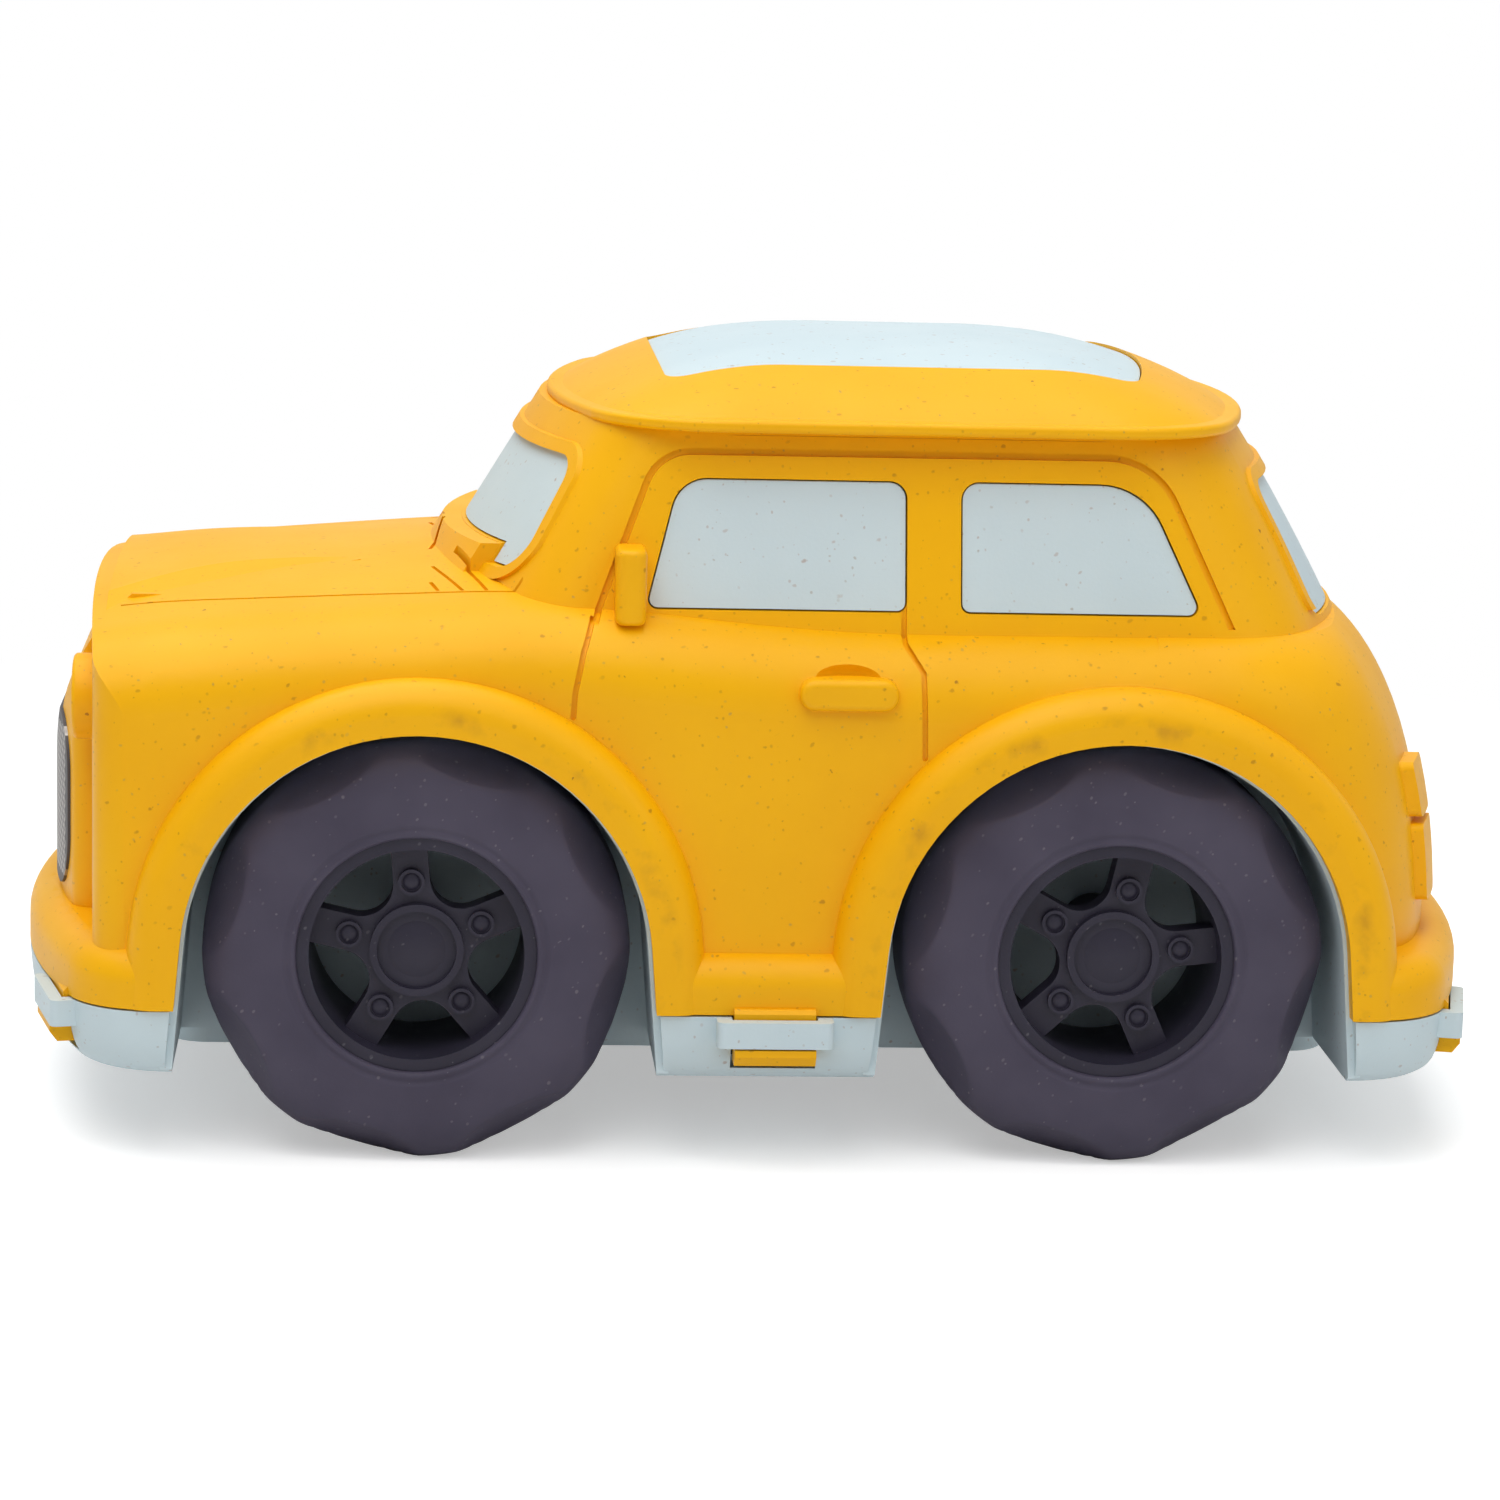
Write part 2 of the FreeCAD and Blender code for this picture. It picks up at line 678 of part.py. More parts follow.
def handle_scoop():
    """Finger hollow behind the top of the handle."""
    x0, x1, z0, z1 = handle
    ball = Part.makeSphere(5.5, V(0, 0, 0))
    stretch = FreeCAD.Matrix()
    stretch.scale(V(0.71, 0.5, 0.36))
    hollow = ball.transformGeometry(stretch)
    hollow.translate(V((x0 + x1) / 2, -side_half_width - 0.7, z1 + 0.1))
    return hollow


def door_mirror():
    """Mirror at the front corner of the door window."""
    x0, x1, z0, z1 = mirror
    face = cabin_slope(z0, cabin_half_base, cabin_half_top) + mirror_stand
    head = box(x0, x1, -face, -26, z0, z1)
    upright = [e for e in head.Edges if e.BoundBox.ZLength > 1 and e.BoundBox.YMax < -30]
    head = head.makeFillet(1.1, upright)
    rim = [e for e in head.Edges if e.BoundBox.ZLength < 1e-3 and e.BoundBox.YMin < -face + 2.5]
    return head.makeFillet(0.6, [e for e in rim if e.BoundBox.YMax < -26.5 or e.BoundBox.YLength < 0.1])


def frame_beads():
    """Raised beads round the windscreen and the rear window."""
    skin = cabin_form(-frame_bead, 54.0, cabin_top_z)
    front = end_prism(windscreen, -50, -10, frame_bead_width).cut(end_prism(windscreen, -51, -9, 0))
    rear = end_prism(rear_window, 30, 80, frame_bead_width).cut(end_prism(rear_window, 29, 81, 0))
    solid = cabin_form(body_wall / 2, 53.0, cabin_top_z)
    return skin.common(front).cut(solid), skin.common(rear).cut(solid)


def cowl_block():
    """Raised block across the foot of the windscreen."""
    skin = cabin_form(-cowl_thick, 52.0, cowl_top)
    skin = skin.cut(cabin_form(body_wall / 2, 51.0, cowl_top + 1))
    return skin.common(box(-45, -20, -cowl_half_width, cowl_half_width, 50, 70))


def hood_height(x, y):
    """Height of the plain hood, between the stations of the crest line."""
    for front, back in zip(crest_line, crest_line[1:]):
        if front[0] <= x <= back[0]:
            share = (x - front[0]) / (back[0] - front[0])
            crest = front[1] + (back[1] - front[1]) * share
            inner = side_half_width - front[2] - (back[2] - front[2]) * share
            return crest + hood_crown * (1 - (y / inner) ** 2)
    return crest_line[0][1]


def hood_panel():
    """Raised middle of the hood with sloping flanks, fading out towards the windscreen."""
    sections = []
    for x, foot, top, rise in hood_ridge:
        foot_z = hood_height(x, foot)
        top_z = hood_height(x, top) + rise
        slope = (top_z - foot_z) / (foot - top)
        low = V(x, -foot - ridge_root, foot_z - ridge_root * slope)
        high = V(x, -top, top_z)
        under = V(x, low.y, ridge_floor)
        edges = [line(under, low), line(low, high), arc(high, V(x, 0, hood_height(x, 0) + rise), flip(high)),
                 line(flip(high), flip(low)), line(flip(low), flip(under)), line(flip(under), under)]
        sections.append(Part.Wire(edges))
    return Part.makeLoft(sections, True)


def tail_lamps():
    """Two raised blocks on each side of the tail."""
    skin = lower_form(-tail_lamp_stand, 16)[1]
    y0, y1 = tail_lamp_y
    lamps = []
    for z0, z1 in tail_lamp_levels:
        corners = [(-y1, z0, 0.8), (-y0, z0, 0.8), (-y0, z1, 0.8), (-y1, z1, 0.8)]
        lamps.append(skin.common(end_prism(corners, 55, 80)))
    return fused(lamps)


def grille_sticker():
    """Thin sticker bent over the front of the nose."""
    skin = nose_form(-sticker_thick).cut(nose_form(0))
    return skin.common(end_prism(grille_outline, -90, -62))


def headlamp_sticker():
    """Round sticker in the bezel's seat."""
    return cylinder_x(headlamp_radius - 0.8, -headlamp_y, headlamp_z, headlamp_face_x,
                      headlamp_face_x + sticker_thick)


# ---------------------------------------------------------------- body shell
def body_shell():
    """Yellow upper body: one thin moulding with window openings."""
    base = split_z + split_gap
    front, tail = lower_form(0, base)
    skirt = skirt_form(0, base, skirt_top)
    skirt = skirt.makeFillet(skirt_round, bottom_edges(skirt, skirt_top))
    outer = front.fuse(tail)
    outer = outer.fuse(skirt)
    outer = outer.fuse(nose_form(0))
    for x in (-axle_x, axle_x):
        outer = outer.fuse(both_sides(flare(x)))
    outer = outer.fuse(cabin_form(0))
    outer = outer.fuse([rail(), roof_dome(0)])
    outer = outer.fuse([hood_panel(), cowl_block()])
    outer = outer.fuse(list(frame_beads()))
    outer = outer.fuse(both_sides(headlamp_bezel()))
    outer = outer.fuse(both_sides(tail_lamps()))
    outer = outer.cut([both_sides(handle_scoop())])
    outer = outer.cut([groove_cutters()])
    outer = outer.cut([hood_cutters()])
    outer = outer.fuse(both_sides(door_handle()))
    outer = outer.fuse(both_sides(door_mirror()))
    print("body outer", outer.isValid(), len(outer.Solids))
    front_in, tail_in = lower_form(body_wall, base - 1)
    body = outer.cut([front_in])
    body = body.cut([tail_in])
    body = body.cut([skirt_form(body_wall, base - 1, skirt_top - body_wall)])
    body = body.cut([nose_form(body_wall)])
    body = body.cut([cabin_form(body_wall)])
    body = body.cut([roof_dome(body_wall)])
    roof_well = plan_prism(cabin_top_z - 0.5, rail_top - body_wall + 0.9, rail_front + 4, rail_rear - 4,
                           cabin_half_top - body_wall, (60.0, 60.0), (8.0, 8.0))
    body = body.cut([roof_well])
    for x in (-axle_x, axle_x):
        body = body.cut([arch_form(arch_radius, x, -60, 60, 0)])
        hollow = arch_form(flare_radius - body_wall, x, -flare_half_width + body_wall,
                           flare_half_width - body_wall, 0)
        body = body.cut([hollow])
    body = body.cut([box(-90, 90, -60, 60, -5, base)])
    body = body.cut(pane_prisms(0))
    for centre, direction in latch_places():
        body = body.fuse(placed(latch_tongue(), centre, direction))
    print("body", body.isValid(), len(body.Solids))
    return body


# ---------------------------------------------------------------- pale insert behind the windows
throat_inset = 6.0            # the opening between cabin and roof keeps this far from the rail's ends


def greenhouse(inset, z0):
    """Cabin and roof together, drawn in by inset, with a shelf under the roof's gutter."""
    ledge = rail_top - body_wall
    shelf = ledge + inset - body_wall
    floor = ledge + insert_gap
    cabin = cabin_form(inset, z0, floor)
    dome = roof_dome(inset).common(box(-60, 90, -50, 50, shelf, 90))
    throat = plan_prism(floor - 0.5, shelf + 0.5, rail_front + throat_inset + inset, rail_rear - throat_inset - inset,
                        cabin_half_top - insert_wall - inset, (60.0, 60.0), (8.0, 8.0))
    return cabin.fuse([dome, throat])


def window_insert():
    """Pale moulding that fills every window and the roof panel from behind."""
    outside = body_wall + insert_gap
    shell = greenhouse(outside, insert_bottom).cut(greenhouse(outside + insert_wall, cabin_base_z))
    skin = cabin_form(pane_recess, 51.0, cabin_top_z).fuse(roof_dome(pane_recess))
    core = greenhouse(outside + insert_wall / 2, cabin_base_z)
    insert = shell
    for prism_form in pane_prisms(-pane_gap):
        insert = insert.fuse(skin.common(prism_form).cut(core))
    print("insert", insert.isValid(), len(insert.Solids))
    return insert


# ---------------------------------------------------------------- chassis
bush_radius = 3.0
bush_out = 0.8
bush_in = 5.0
rear_axle_hole = 2.0
post_radius = 2.0
post_y = 27.2
sill_end_gap = 0.35


def chassis():
    """Pale lower moulding: tray, wheel wells, axle bushes, posts and latch loops."""
    outlines = []
    for z, inset in ((split_z, 0.0), (12.6, 0.25), (10.4, 0.9), (chin_z, 2.4)):
        outlines.append(plan_wire(z, nose_x + inset, tail_x - inset, skirt_half_width - inset,
                                  (bumper_crown, bumper_crown), (bumper_corner, bumper_corner)))
    tray = Part.makeLoft(outlines, True)
    belly = plan_prism(belly_z, floor_top, -belly_half_length, belly_half_length, well_inner_y,
                       (300.0, 300.0), (4.0, 4.0))
    tray = tray.fuse(belly)
    hollow = skirt_form(chassis_wall + 1.2, floor_top, split_z + 5)
    tray = tray.cut([hollow])
    for x in (-axle_x, axle_x):
        outside = arch_radius - liner_gap + well_wall
        for side in (-1, 1):
            y0, y1 = sorted((side * (well_inner_y - well_wall), side * (flare_half_width - body_wall - 0.1)))
            tray = tray.fuse(arch_form(outside, x, y0, y1, floor_top - 1.5))
    for x in (-axle_x, axle_x):
        for side in (-1, 1):
            y0, y1 = sorted((side * well_inner_y, side * 60.0))
            tray = tray.cut([arch_form(arch_radius - liner_gap, x, y0, y1, 0)])
            y0, y1 = sorted((side * (flare_half_width - body_wall - 0.1), side * 60.0))
            tray = tray.cut([arch_form(arch_radius + sill_end_gap, x, y0, y1, 0)])
            y0, y1 = sorted((side * (well_inner_y + bush_out), side * (well_inner_y - bush_in)))
            tray = tray.fuse(cylinder_y(bush_radius, x, axle_z, y0, y1))
    tray = tray.cut([cylinder_y(axle_radius + running_clearance, -axle_x, axle_z, -30, 30)])
    tray = tray.cut([cylinder_y(rear_axle_hole, axle_x, axle_z, -30, 30)])
    for side in (-1, 1):
        post = Part.makeCylinder(post_radius, insert_bottom - 0.1 - floor_top + 0.5,
                                 V(0, side * post_y, floor_top - 0.5))
        tray = tray.fuse(post)
    for x, y in motor_feet():
        boss = Part.makeCylinder(screw_boss_radius, foot_z - floor_top + 0.5, V(x, y, floor_top - 0.5))
        pilot = Part.makeCylinder(screw_radius, screw_length + 0.5, V(x, y, foot_z - screw_length - 0.5))
        tray = tray.fuse(boss).cut([pilot])
    for centre, direction in latch_places():
        tray = tray.cut([placed(latch_notch(), centre, direction)])
        tray = tray.fuse(placed(latch_loop(), centre, direction))
    print("chassis", tray.isValid(), len(tray.Solids))
    return tray


# ---------------------------------------------------------------- motor
idler_centre = (axle_x - gear_module * (axle_teeth + idler_teeth) / 2 * math.cos(math.radians(idler_rise)),
                axle_z + gear_module * (axle_teeth + idler_teeth) / 2 * math.sin(math.radians(idler_rise)))
barrel_reach = gear_module * (idler_pinion_teeth + barrel_teeth) / 2
barrel_centre = (idler_centre[0] - barrel_reach * math.cos(math.radians(barrel_fall)),
                 idler_centre[1] - barrel_reach * math.sin(math.radians(barrel_fall)))
gear_slack = 0.6
barrel_tip = gear_module * (barrel_teeth + 2) / 2
idler_tip = gear_module * (idler_teeth + 2) / 2
axle_tip = gear_module * (axle_teeth + 2) / 2
case_x0 = barrel_centre[0] - barrel_tip - gear_slack - case_wall
case_x1 = axle_x + axle_tip + gear_slack + case_wall
case_z0 = barrel_centre[1] - barrel_tip - gear_slack - case_wall
case_z1 = idler_centre[1] + idler_tip + gear_slack + case_wall
case_round = 3.0
foot_z = case_z0
foot_thick = 1.6
foot_length = 5.0
foot_y = 4.2
screw_radius = 1.1
screw_length = 3.4
screw_head_radius = 2.0
screw_head_height = 1.4
screw_boss_radius = 2.5
peg_radius = 0.8
peg_boss_radius = 1.6
peg_length = 2.5
backlash = 0.08
pressure_angle = 20.0
drive_gear_y = -5.0           # middle plane of the axle gear and the idler's large gear
barrel_gear_y = 4.5
drum_outer = 7.0
drum_wall = 0.6
drum_y = (-2.6, barrel_gear_y - gear_width / 2)
spring_thick = 0.25
spring_pitch = 0.62
spring_inner = 2.3
spring_turns = 6
spring_y = (-2.2, 2.4)


def motor_feet():
    """Screw places of the motor: front foot on the left half, rear foot on the right half."""
    return [(case_x0 - foot_length / 2, -foot_y), (case_x1 + foot_length / 2, foot_y)]


def involute_half_angle(radius, teeth):
    """Half the angle that a tooth spans at a radius."""
    pitch = gear_module * teeth / 2
    base = pitch * math.cos(math.radians(pressure_angle))
    at_pitch = (math.pi * gear_module / 2 - backlash) / 2 / pitch
    def unwrap(r):
        angle = math.acos(min(1.0, base / r))
        return math.tan(angle) - angle
    return at_pitch + unwrap(pitch) - unwrap(max(radius, base))


def gear(teeth, centre, y_mid, tooth_angle):
    """Spur gear lying across the car, with one tooth centred on tooth_angle."""
    pitch = gear_module * teeth / 2
    tip = pitch + gear_module
    root = pitch - 1.25 * gear_module
    y0 = y_mid - gear_width / 2
    levels = [root, pitch - 0.45 * gear_module, pitch, pitch + 0.55 * gear_module, tip]
    points = []
    for number in range(teeth):
        middle = tooth_angle + 2 * math.pi * number / teeth
        for r in levels:
            points.append((r, middle - involute_half_angle(r, teeth)))
        for r in reversed(levels):
            points.append((r, middle + involute_half_angle(r, teeth)))
    outline = [V(centre[0] + r * math.cos(a), y0, centre[1] + r * math.sin(a)) for r, a in points]
    return prism(outline, V(0, gear_width, 0))


def mesh_angles():
    """Tooth angles that put the three gear pairs in mesh at rest."""
    to_idler = math.atan2(idler_centre[1] - axle_z, idler_centre[0] - axle_x)
    to_barrel = math.atan2(barrel_centre[1] - idler_centre[1], barrel_centre[0] - idler_centre[0])
    return {
        "axle": to_idler,
        "idler": to_idler + math.pi + math.pi / idler_teeth,
        "pinion": to_barrel,
        "barrel": to_barrel + math.pi + math.pi / barrel_teeth,
    }


def axle_gear():
    """Small gear pressed on the rear axle."""
    wheel = gear(axle_teeth, (axle_x, axle_z), drive_gear_y, mesh_angles()["axle"])
    return wheel.cut(cylinder_y(axle_radius, axle_x, axle_z, -10, 10))


def idler_gear():
    """Compound gear: the large gear meets the axle gear, the small one meets the barrel."""
    x, z = idler_centre
    angles = mesh_angles()
    large = gear(idler_teeth, idler_centre, drive_gear_y, angles["idler"])
    small = gear(idler_pinion_teeth, idler_centre, barrel_gear_y, angles["pinion"])
    sleeve = cylinder_y(1.85, x, z, drive_gear_y - gear_width / 2, barrel_gear_y + gear_width / 2)
    lightening = cylinder_y(5.0, x, z, drive_gear_y - gear_width, drive_gear_y - gear_width / 2 + 0.9)
    lightening = lightening.cut(cylinder_y(2.4, x, z, -10, 10))
    wheel = large.cut(lightening).fuse([small, sleeve])
    return wheel.cut(cylinder_y(pin_radius + running_clearance, x, z, -10, 10))


def spring_barrel():
    """Barrel with its gear; the mainspring lies in the drum."""
    x, z = barrel_centre
    wheel = gear(barrel_teeth, barrel_centre, barrel_gear_y, mesh_angles()["barrel"])
    drum = cylinder_y(drum_outer, x, z, drum_y[0], drum_y[1])
    drum = drum.cut(cylinder_y(drum_outer - drum_wall, x, z, drum_y[0] - 1, drum_y[1] + 0.5))
    wheel = wheel.fuse(drum)
    return wheel.cut(cylinder_y(pin_radius + running_clearance, x, z, -10, 10))


def mainspring():
    """Flat steel spiral in the drum, drawn as half circles of growing radius."""
    x, z = barrel_centre
    y0, y1 = spring_y
    centre = V(x, y0, z)
    inner = []
    outer = []
    for half in range(2 * spring_turns):
        side = 1 if half % 2 == 0 else -1
        radius = spring_inner + spring_pitch / 2 * half + spring_pitch / 4
        middle = centre + V(side * spring_pitch / 4, 0, 0)
        for store, r in ((inner, radius), (outer, radius + spring_thick)):
            start = middle - V(side * r, 0, 0)
            top = middle + V(0, 0, side * r)
            stop = middle + V(side * r, 0, 0)
            store.append(arc(start, top, stop))
    first = line(inner[0].Vertexes[0].Point, outer[0].Vertexes[0].Point)
    last = line(inner[-1].Vertexes[1].Point, outer[-1].Vertexes[1].Point)
    outline = Part.Wire(Part.__sortEdges__(inner + [last] + outer + [first]))
    return Part.Face(outline).extrude(V(0, y1 - y0, 0))


def case_pegs():
    """Corners of the case where its halves are pegged together."""
    inset = case_wall + peg_boss_radius - 0.6
    return [(case_x0 + inset, case_z0 + inset), (case_x0 + inset, case_z1 - inset),
            (case_x1 - inset, case_z0 + inset), (case_x1 - inset, case_z1 - inset)]


def motor_case(side):
    """One half of the motor case; side is -1 for the left half and 1 for the right."""
    y0, y1 = sorted((0.0, side * case_half_width))
    outer = box(case_x0, case_x1, y0, y1, case_z0, case_z1)
    outer = outer.makeFillet(case_round, [e for e in outer.Edges if e.BoundBox.YLength > 1])
    y0, y1 = sorted((-side, side * (case_half_width - case_wall)))
    inner = box(case_x0 + case_wall, case_x1 - case_wall, y0, y1, case_z0 + case_wall, case_z1 - case_wall)
    inner = inner.makeFillet(case_round - case_wall, [e for e in inner.Edges if e.BoundBox.YLength > 1])
    half = outer.cut(inner)
    y0, y1 = sorted((0.0, side * (case_half_width - 0.2)))
    for x, z in case_pegs():
        half = half.fuse(cylinder_y(peg_boss_radius, x, z, y0, y1))
    if side < 0:
        for x, z in case_pegs():
            half = half.cut(cylinder_y(peg_radius, x, z, -peg_length - 0.2, 1))
    else:
        for x, z in case_pegs():
            half = half.fuse(cylinder_y(peg_radius, x, z, -peg_length, 1))
    half = half.cut(cylinder_y(axle_radius + running_clearance, axle_x, axle_z, -20, 20))
    for x, z in (idler_centre, barrel_centre):
        half = half.cut(cylinder_y(pin_radius, x, z, -20, 20))
    foot_x, foot_mid = motor_feet()[0] if side < 0 else motor_feet()[1]
    foot = box(foot_x - foot_length / 2 - 0.5, foot_x + foot_length / 2 + 0.5, foot_mid - 3.5, foot_mid + 3.5,
               foot_z, foot_z + foot_thick)
    foot = foot.cut(box(case_x0 + case_wall, case_x1 - case_wall, -20, 20, case_z0 - 1, case_z1))
    half = half.fuse(foot)
    hole = Part.makeCylinder(screw_radius + 0.15, foot_thick + 2, V(foot_x, foot_mid, foot_z - 1))
    return half.cut(hole)


def motor_screws():
    """Two screws that hold the motor's feet to the chassis."""
    screws = []
    for x, y in motor_feet():
        shank = Part.makeCylinder(screw_radius, screw_length + foot_thick, V(x, y, foot_z - screw_length))
        head = Part.makeCylinder(screw_head_radius, screw_head_height, V(x, y, foot_z + foot_thick))
        head = head.makeFillet(0.4, bottom_edges(head, foot_z + foot_thick + screw_head_height))
        slot = box(x - 3, x + 3, y - 0.25, y + 0.25, foot_z + foot_thick + 0.7, foot_z + 9)
        cross = box(x - 0.25, x + 0.25, y - 3, y + 3, foot_z + foot_thick + 0.7, foot_z + 9)
        limit = Part.makeCylinder(screw_head_radius * 0.62, 9, V(x, y, foot_z + foot_thick))
        screws.append(shank.fuse(head).cut(slot.fuse(cross).common(limit)))
    return Part.makeCompound(screws)


# ---------------------------------------------------------------- axles and wheels
hub_depth = 16.8              # from the tyre's outer face in to the end of the hub
spoke_depth = (3.4, 6.0)
barrel_inner = 10.5
barrel_depth = (0.6, 15.4)
axle_end_depth = 5.2
nut_circle = 6.8
nut_radius = 1.3
hub_ring = (3.9, 4.6)
spoke_half_width = 1.8
scoop_radius = 26.0
scoop_face_radius = 17.1
scoop_run = 5.3
# rounded shoulder of the tyre: (radius, depth from its face)
shoulder_points = [(tyre_shoulder_radius, 0.0), (18.6, 0.75), (20.3, 1.8), (tyre_radius, 3.2)]


def axle(x):
    """Plain steel axle between the hubs."""
    reach = tyre_face - axle_end_depth
    return cylinder_y(axle_radius, x, axle_z, -reach, reach)


def turned(shape, x, degrees):
    """Turn a wheel part about its axle, clockwise seen from the car's left."""
    copy = shape.copy()
    copy.rotate(V(x, 0, axle_z), V(0, 1, 0), degrees)
    return copy


def depth(value):
    """Place across the car of a depth measured in from the left tyre's outer face."""
    return -tyre_face + value


def rim(x, turn):
    """Left rim: barrel, five spokes with nuts, hub ring and a long hub for the axle."""
    z = axle_z
    ring = cylinder_y(rim_radius, x, z, depth(barrel_depth[0]), depth(barrel_depth[1]))
    ring = ring.cut(cylinder_y(barrel_inner, x, z, depth(-1), depth(17)))
    disc = cylinder_y(barrel_inner + 0.4, x, z, depth(spoke_depth[0]), depth(spoke_depth[1]))
    step = math.pi / spoke_count
    apex = spoke_half_width / math.sin(step)
    far = 20.0
    for number in range(spoke_count):
        middle = math.pi / 2 + step + 2 * step * number
        corners = [(apex, 0.0, 3.1), (apex + far * math.cos(step), far * math.sin(step), 1.0),
                   (apex + far * math.cos(step), -far * math.sin(step), 1.0)]

        def place(u, v, turn_to=middle):
            return V(x + u * math.cos(turn_to) - v * math.sin(turn_to), depth(spoke_depth[0] - 1),
                     z + u * math.sin(turn_to) + v * math.cos(turn_to))
        window = rounded_face(corners, place).extrude(V(0, spoke_depth[1] - spoke_depth[0] + 2, 0))
        disc = disc.cut(window.common(cylinder_y(barrel_inner, x, z, -60, 0)))
    wheel = ring.fuse(disc)
    hub = cylinder_y(3.3, x, z, depth(spoke_depth[1] - 1), depth(hub_depth))
    collar = cylinder_y(hub_ring[1], x, z, depth(2.5), depth(4.4))
    collar = collar.cut(cylinder_y(hub_ring[0], x, z, depth(0), depth(3.2)))
    cap = Part.makeSphere(9.0, V(x, depth(2.75 + 9.0), z)).common(
        cylinder_y(hub_ring[0] - 0.1, x, z, depth(2), depth(4.4)))
    wheel = wheel.fuse([hub, collar, cap])
    for number in range(spoke_count):
        angle = math.pi / 2 + 2 * step * number
        nut_x = x + nut_circle * math.cos(angle)
        nut_z = z + nut_circle * math.sin(angle)
        nut = cylinder_y(nut_radius, nut_x, nut_z, depth(2.7), depth(4.4))
        nut = nut.cut(cylinder_y(nut_radius - 0.3, nut_x, nut_z, depth(2), depth(3.1)))
        button = Part.makeSphere(1.6, V(nut_x, depth(2.85 + 1.6), nut_z)).common(
            cylinder_y(nut_radius - 0.35, nut_x, nut_z, depth(2), depth(4)))
        wheel = wheel.fuse([nut, button])
    wheel = wheel.cut(cylinder_y(axle_radius, x, z, depth(axle_end_depth), 0))
    return turned(wheel, x, turn)


def tyre(x, turn):
    """Left tyre: flat side walls, rounded shoulders and scoops cut across both shoulders."""
    z = axle_z
    near = [V(x + r, depth(d), z) for r, d in shoulder_points]
    far = [V(x + r, depth(tyre_width - d), z) for r, d in reversed(shoulder_points)]
    near_curve = Part.BSplineCurve()
    near_curve.interpolate(Points=near, InitialTangent=V(1, 0, 0), FinalTangent=V(0, 1, 0))
    far_curve = Part.BSplineCurve()
    far_curve.interpolate(Points=far, InitialTangent=V(0, 1, 0), FinalTangent=V(-1, 0, 0))
    near_seat = V(x + rim_radius, depth(0), z)
    far_seat = V(x + rim_radius, depth(tyre_width), z)
    section = Part.Wire([line(near_seat, near[0]), near_curve.toShape(), line(near[-1], far[0]),
                         far_curve.toShape(), line(far[-1], far_seat), line(far_seat, near_seat)])
    ring = Part.Face(section).revolve(V(x, 0, z), V(0, 1, 0), 360)
    rise = tyre_radius - scoop_face_radius
    slope = math.atan2(rise, scoop_run)
    for number in range(scoop_count):
        angle = math.pi / 2 + 2 * math.pi * number / scoop_count
        for flank in (1, -1):
            face_y = depth(0) if flank > 0 else depth(tyre_width)
            away = V(0, -flank * math.sin(slope), math.cos(slope))
            along = V(0, flank * math.cos(slope), math.sin(slope))
            start = V(x, face_y, z + scoop_face_radius) + away * scoop_radius - along * 12
            cutter = Part.makeCylinder(scoop_radius, 32, start, along)
            cutter.rotate(V(x, 0, z), V(0, 1, 0), math.degrees(angle - math.pi / 2))
            ring = ring.cut(cutter)
    return turned(ring, x, turn)


# ---------------------------------------------------------------- write every piece
parts = {
    "body_shell": body_shell(),
    "window_insert": window_insert(),
    "chassis": chassis(),
    "grille_sticker": grille_sticker(),
    "headlamp_sticker_left": headlamp_sticker(),
    "headlamp_sticker_right": mirrored(headlamp_sticker()),
    "front_axle": axle(-axle_x),
    "rear_axle": axle(axle_x),
    "axle_gear": axle_gear(),
    "idler_gear": idler_gear(),
    "idler_pin": cylinder_y(pin_radius, idler_centre[0], idler_centre[1], -case_half_width, case_half_width),
    "spring_barrel": spring_barrel(),
    "barrel_pin": cylinder_y(pin_radius, barrel_centre[0], barrel_centre[1], -case_half_width, case_half_width),
    "mainspring": mainspring(),
    "motor_case_left": motor_case(-1),
    "motor_case_right": motor_case(1),
    "motor_screws": motor_screws(),
}
for end, x, spoke_turn in (("front", -axle_x, front_spoke_turn), ("rear", axle_x, rear_spoke_turn)):
    left_rim = rim(x, spoke_turn)
    left_tyre = tyre(x, tyre_turn)
    parts[end + "_rim_left"] = left_rim
    parts[end + "_rim_right"] = mirrored(left_rim)
    parts[end + "_tyre_left"] = left_tyre
    parts[end + "_tyre_right"] = mirrored(left_tyre)

os.makedirs("parts", exist_ok=True)
for name, shape in parts.items():
    shape.exportStep("parts/" + name + ".step")
    print(name, shape.isValid(), len(shape.Solids), round(shape.Volume, 1))
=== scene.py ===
# %% [markdown]
# # A pull-back toy car, dressed for its picture
#
# The real toy is moulded in two colours of a plastic filled with plant fibre: a yellow body shell, and
# a pale blue insert and chassis that show at the windows, the roof and the sills. Dark wheels run on
# steel axles, and a small spring motor sits between the rear wheels.
#
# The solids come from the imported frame, so every piece is already in place. This script gives each
# one its finish, remakes the pieces that a smoother mesh can show better, and sets up the light.

import json
import math

import bpy
from mathutils import Matrix, Vector


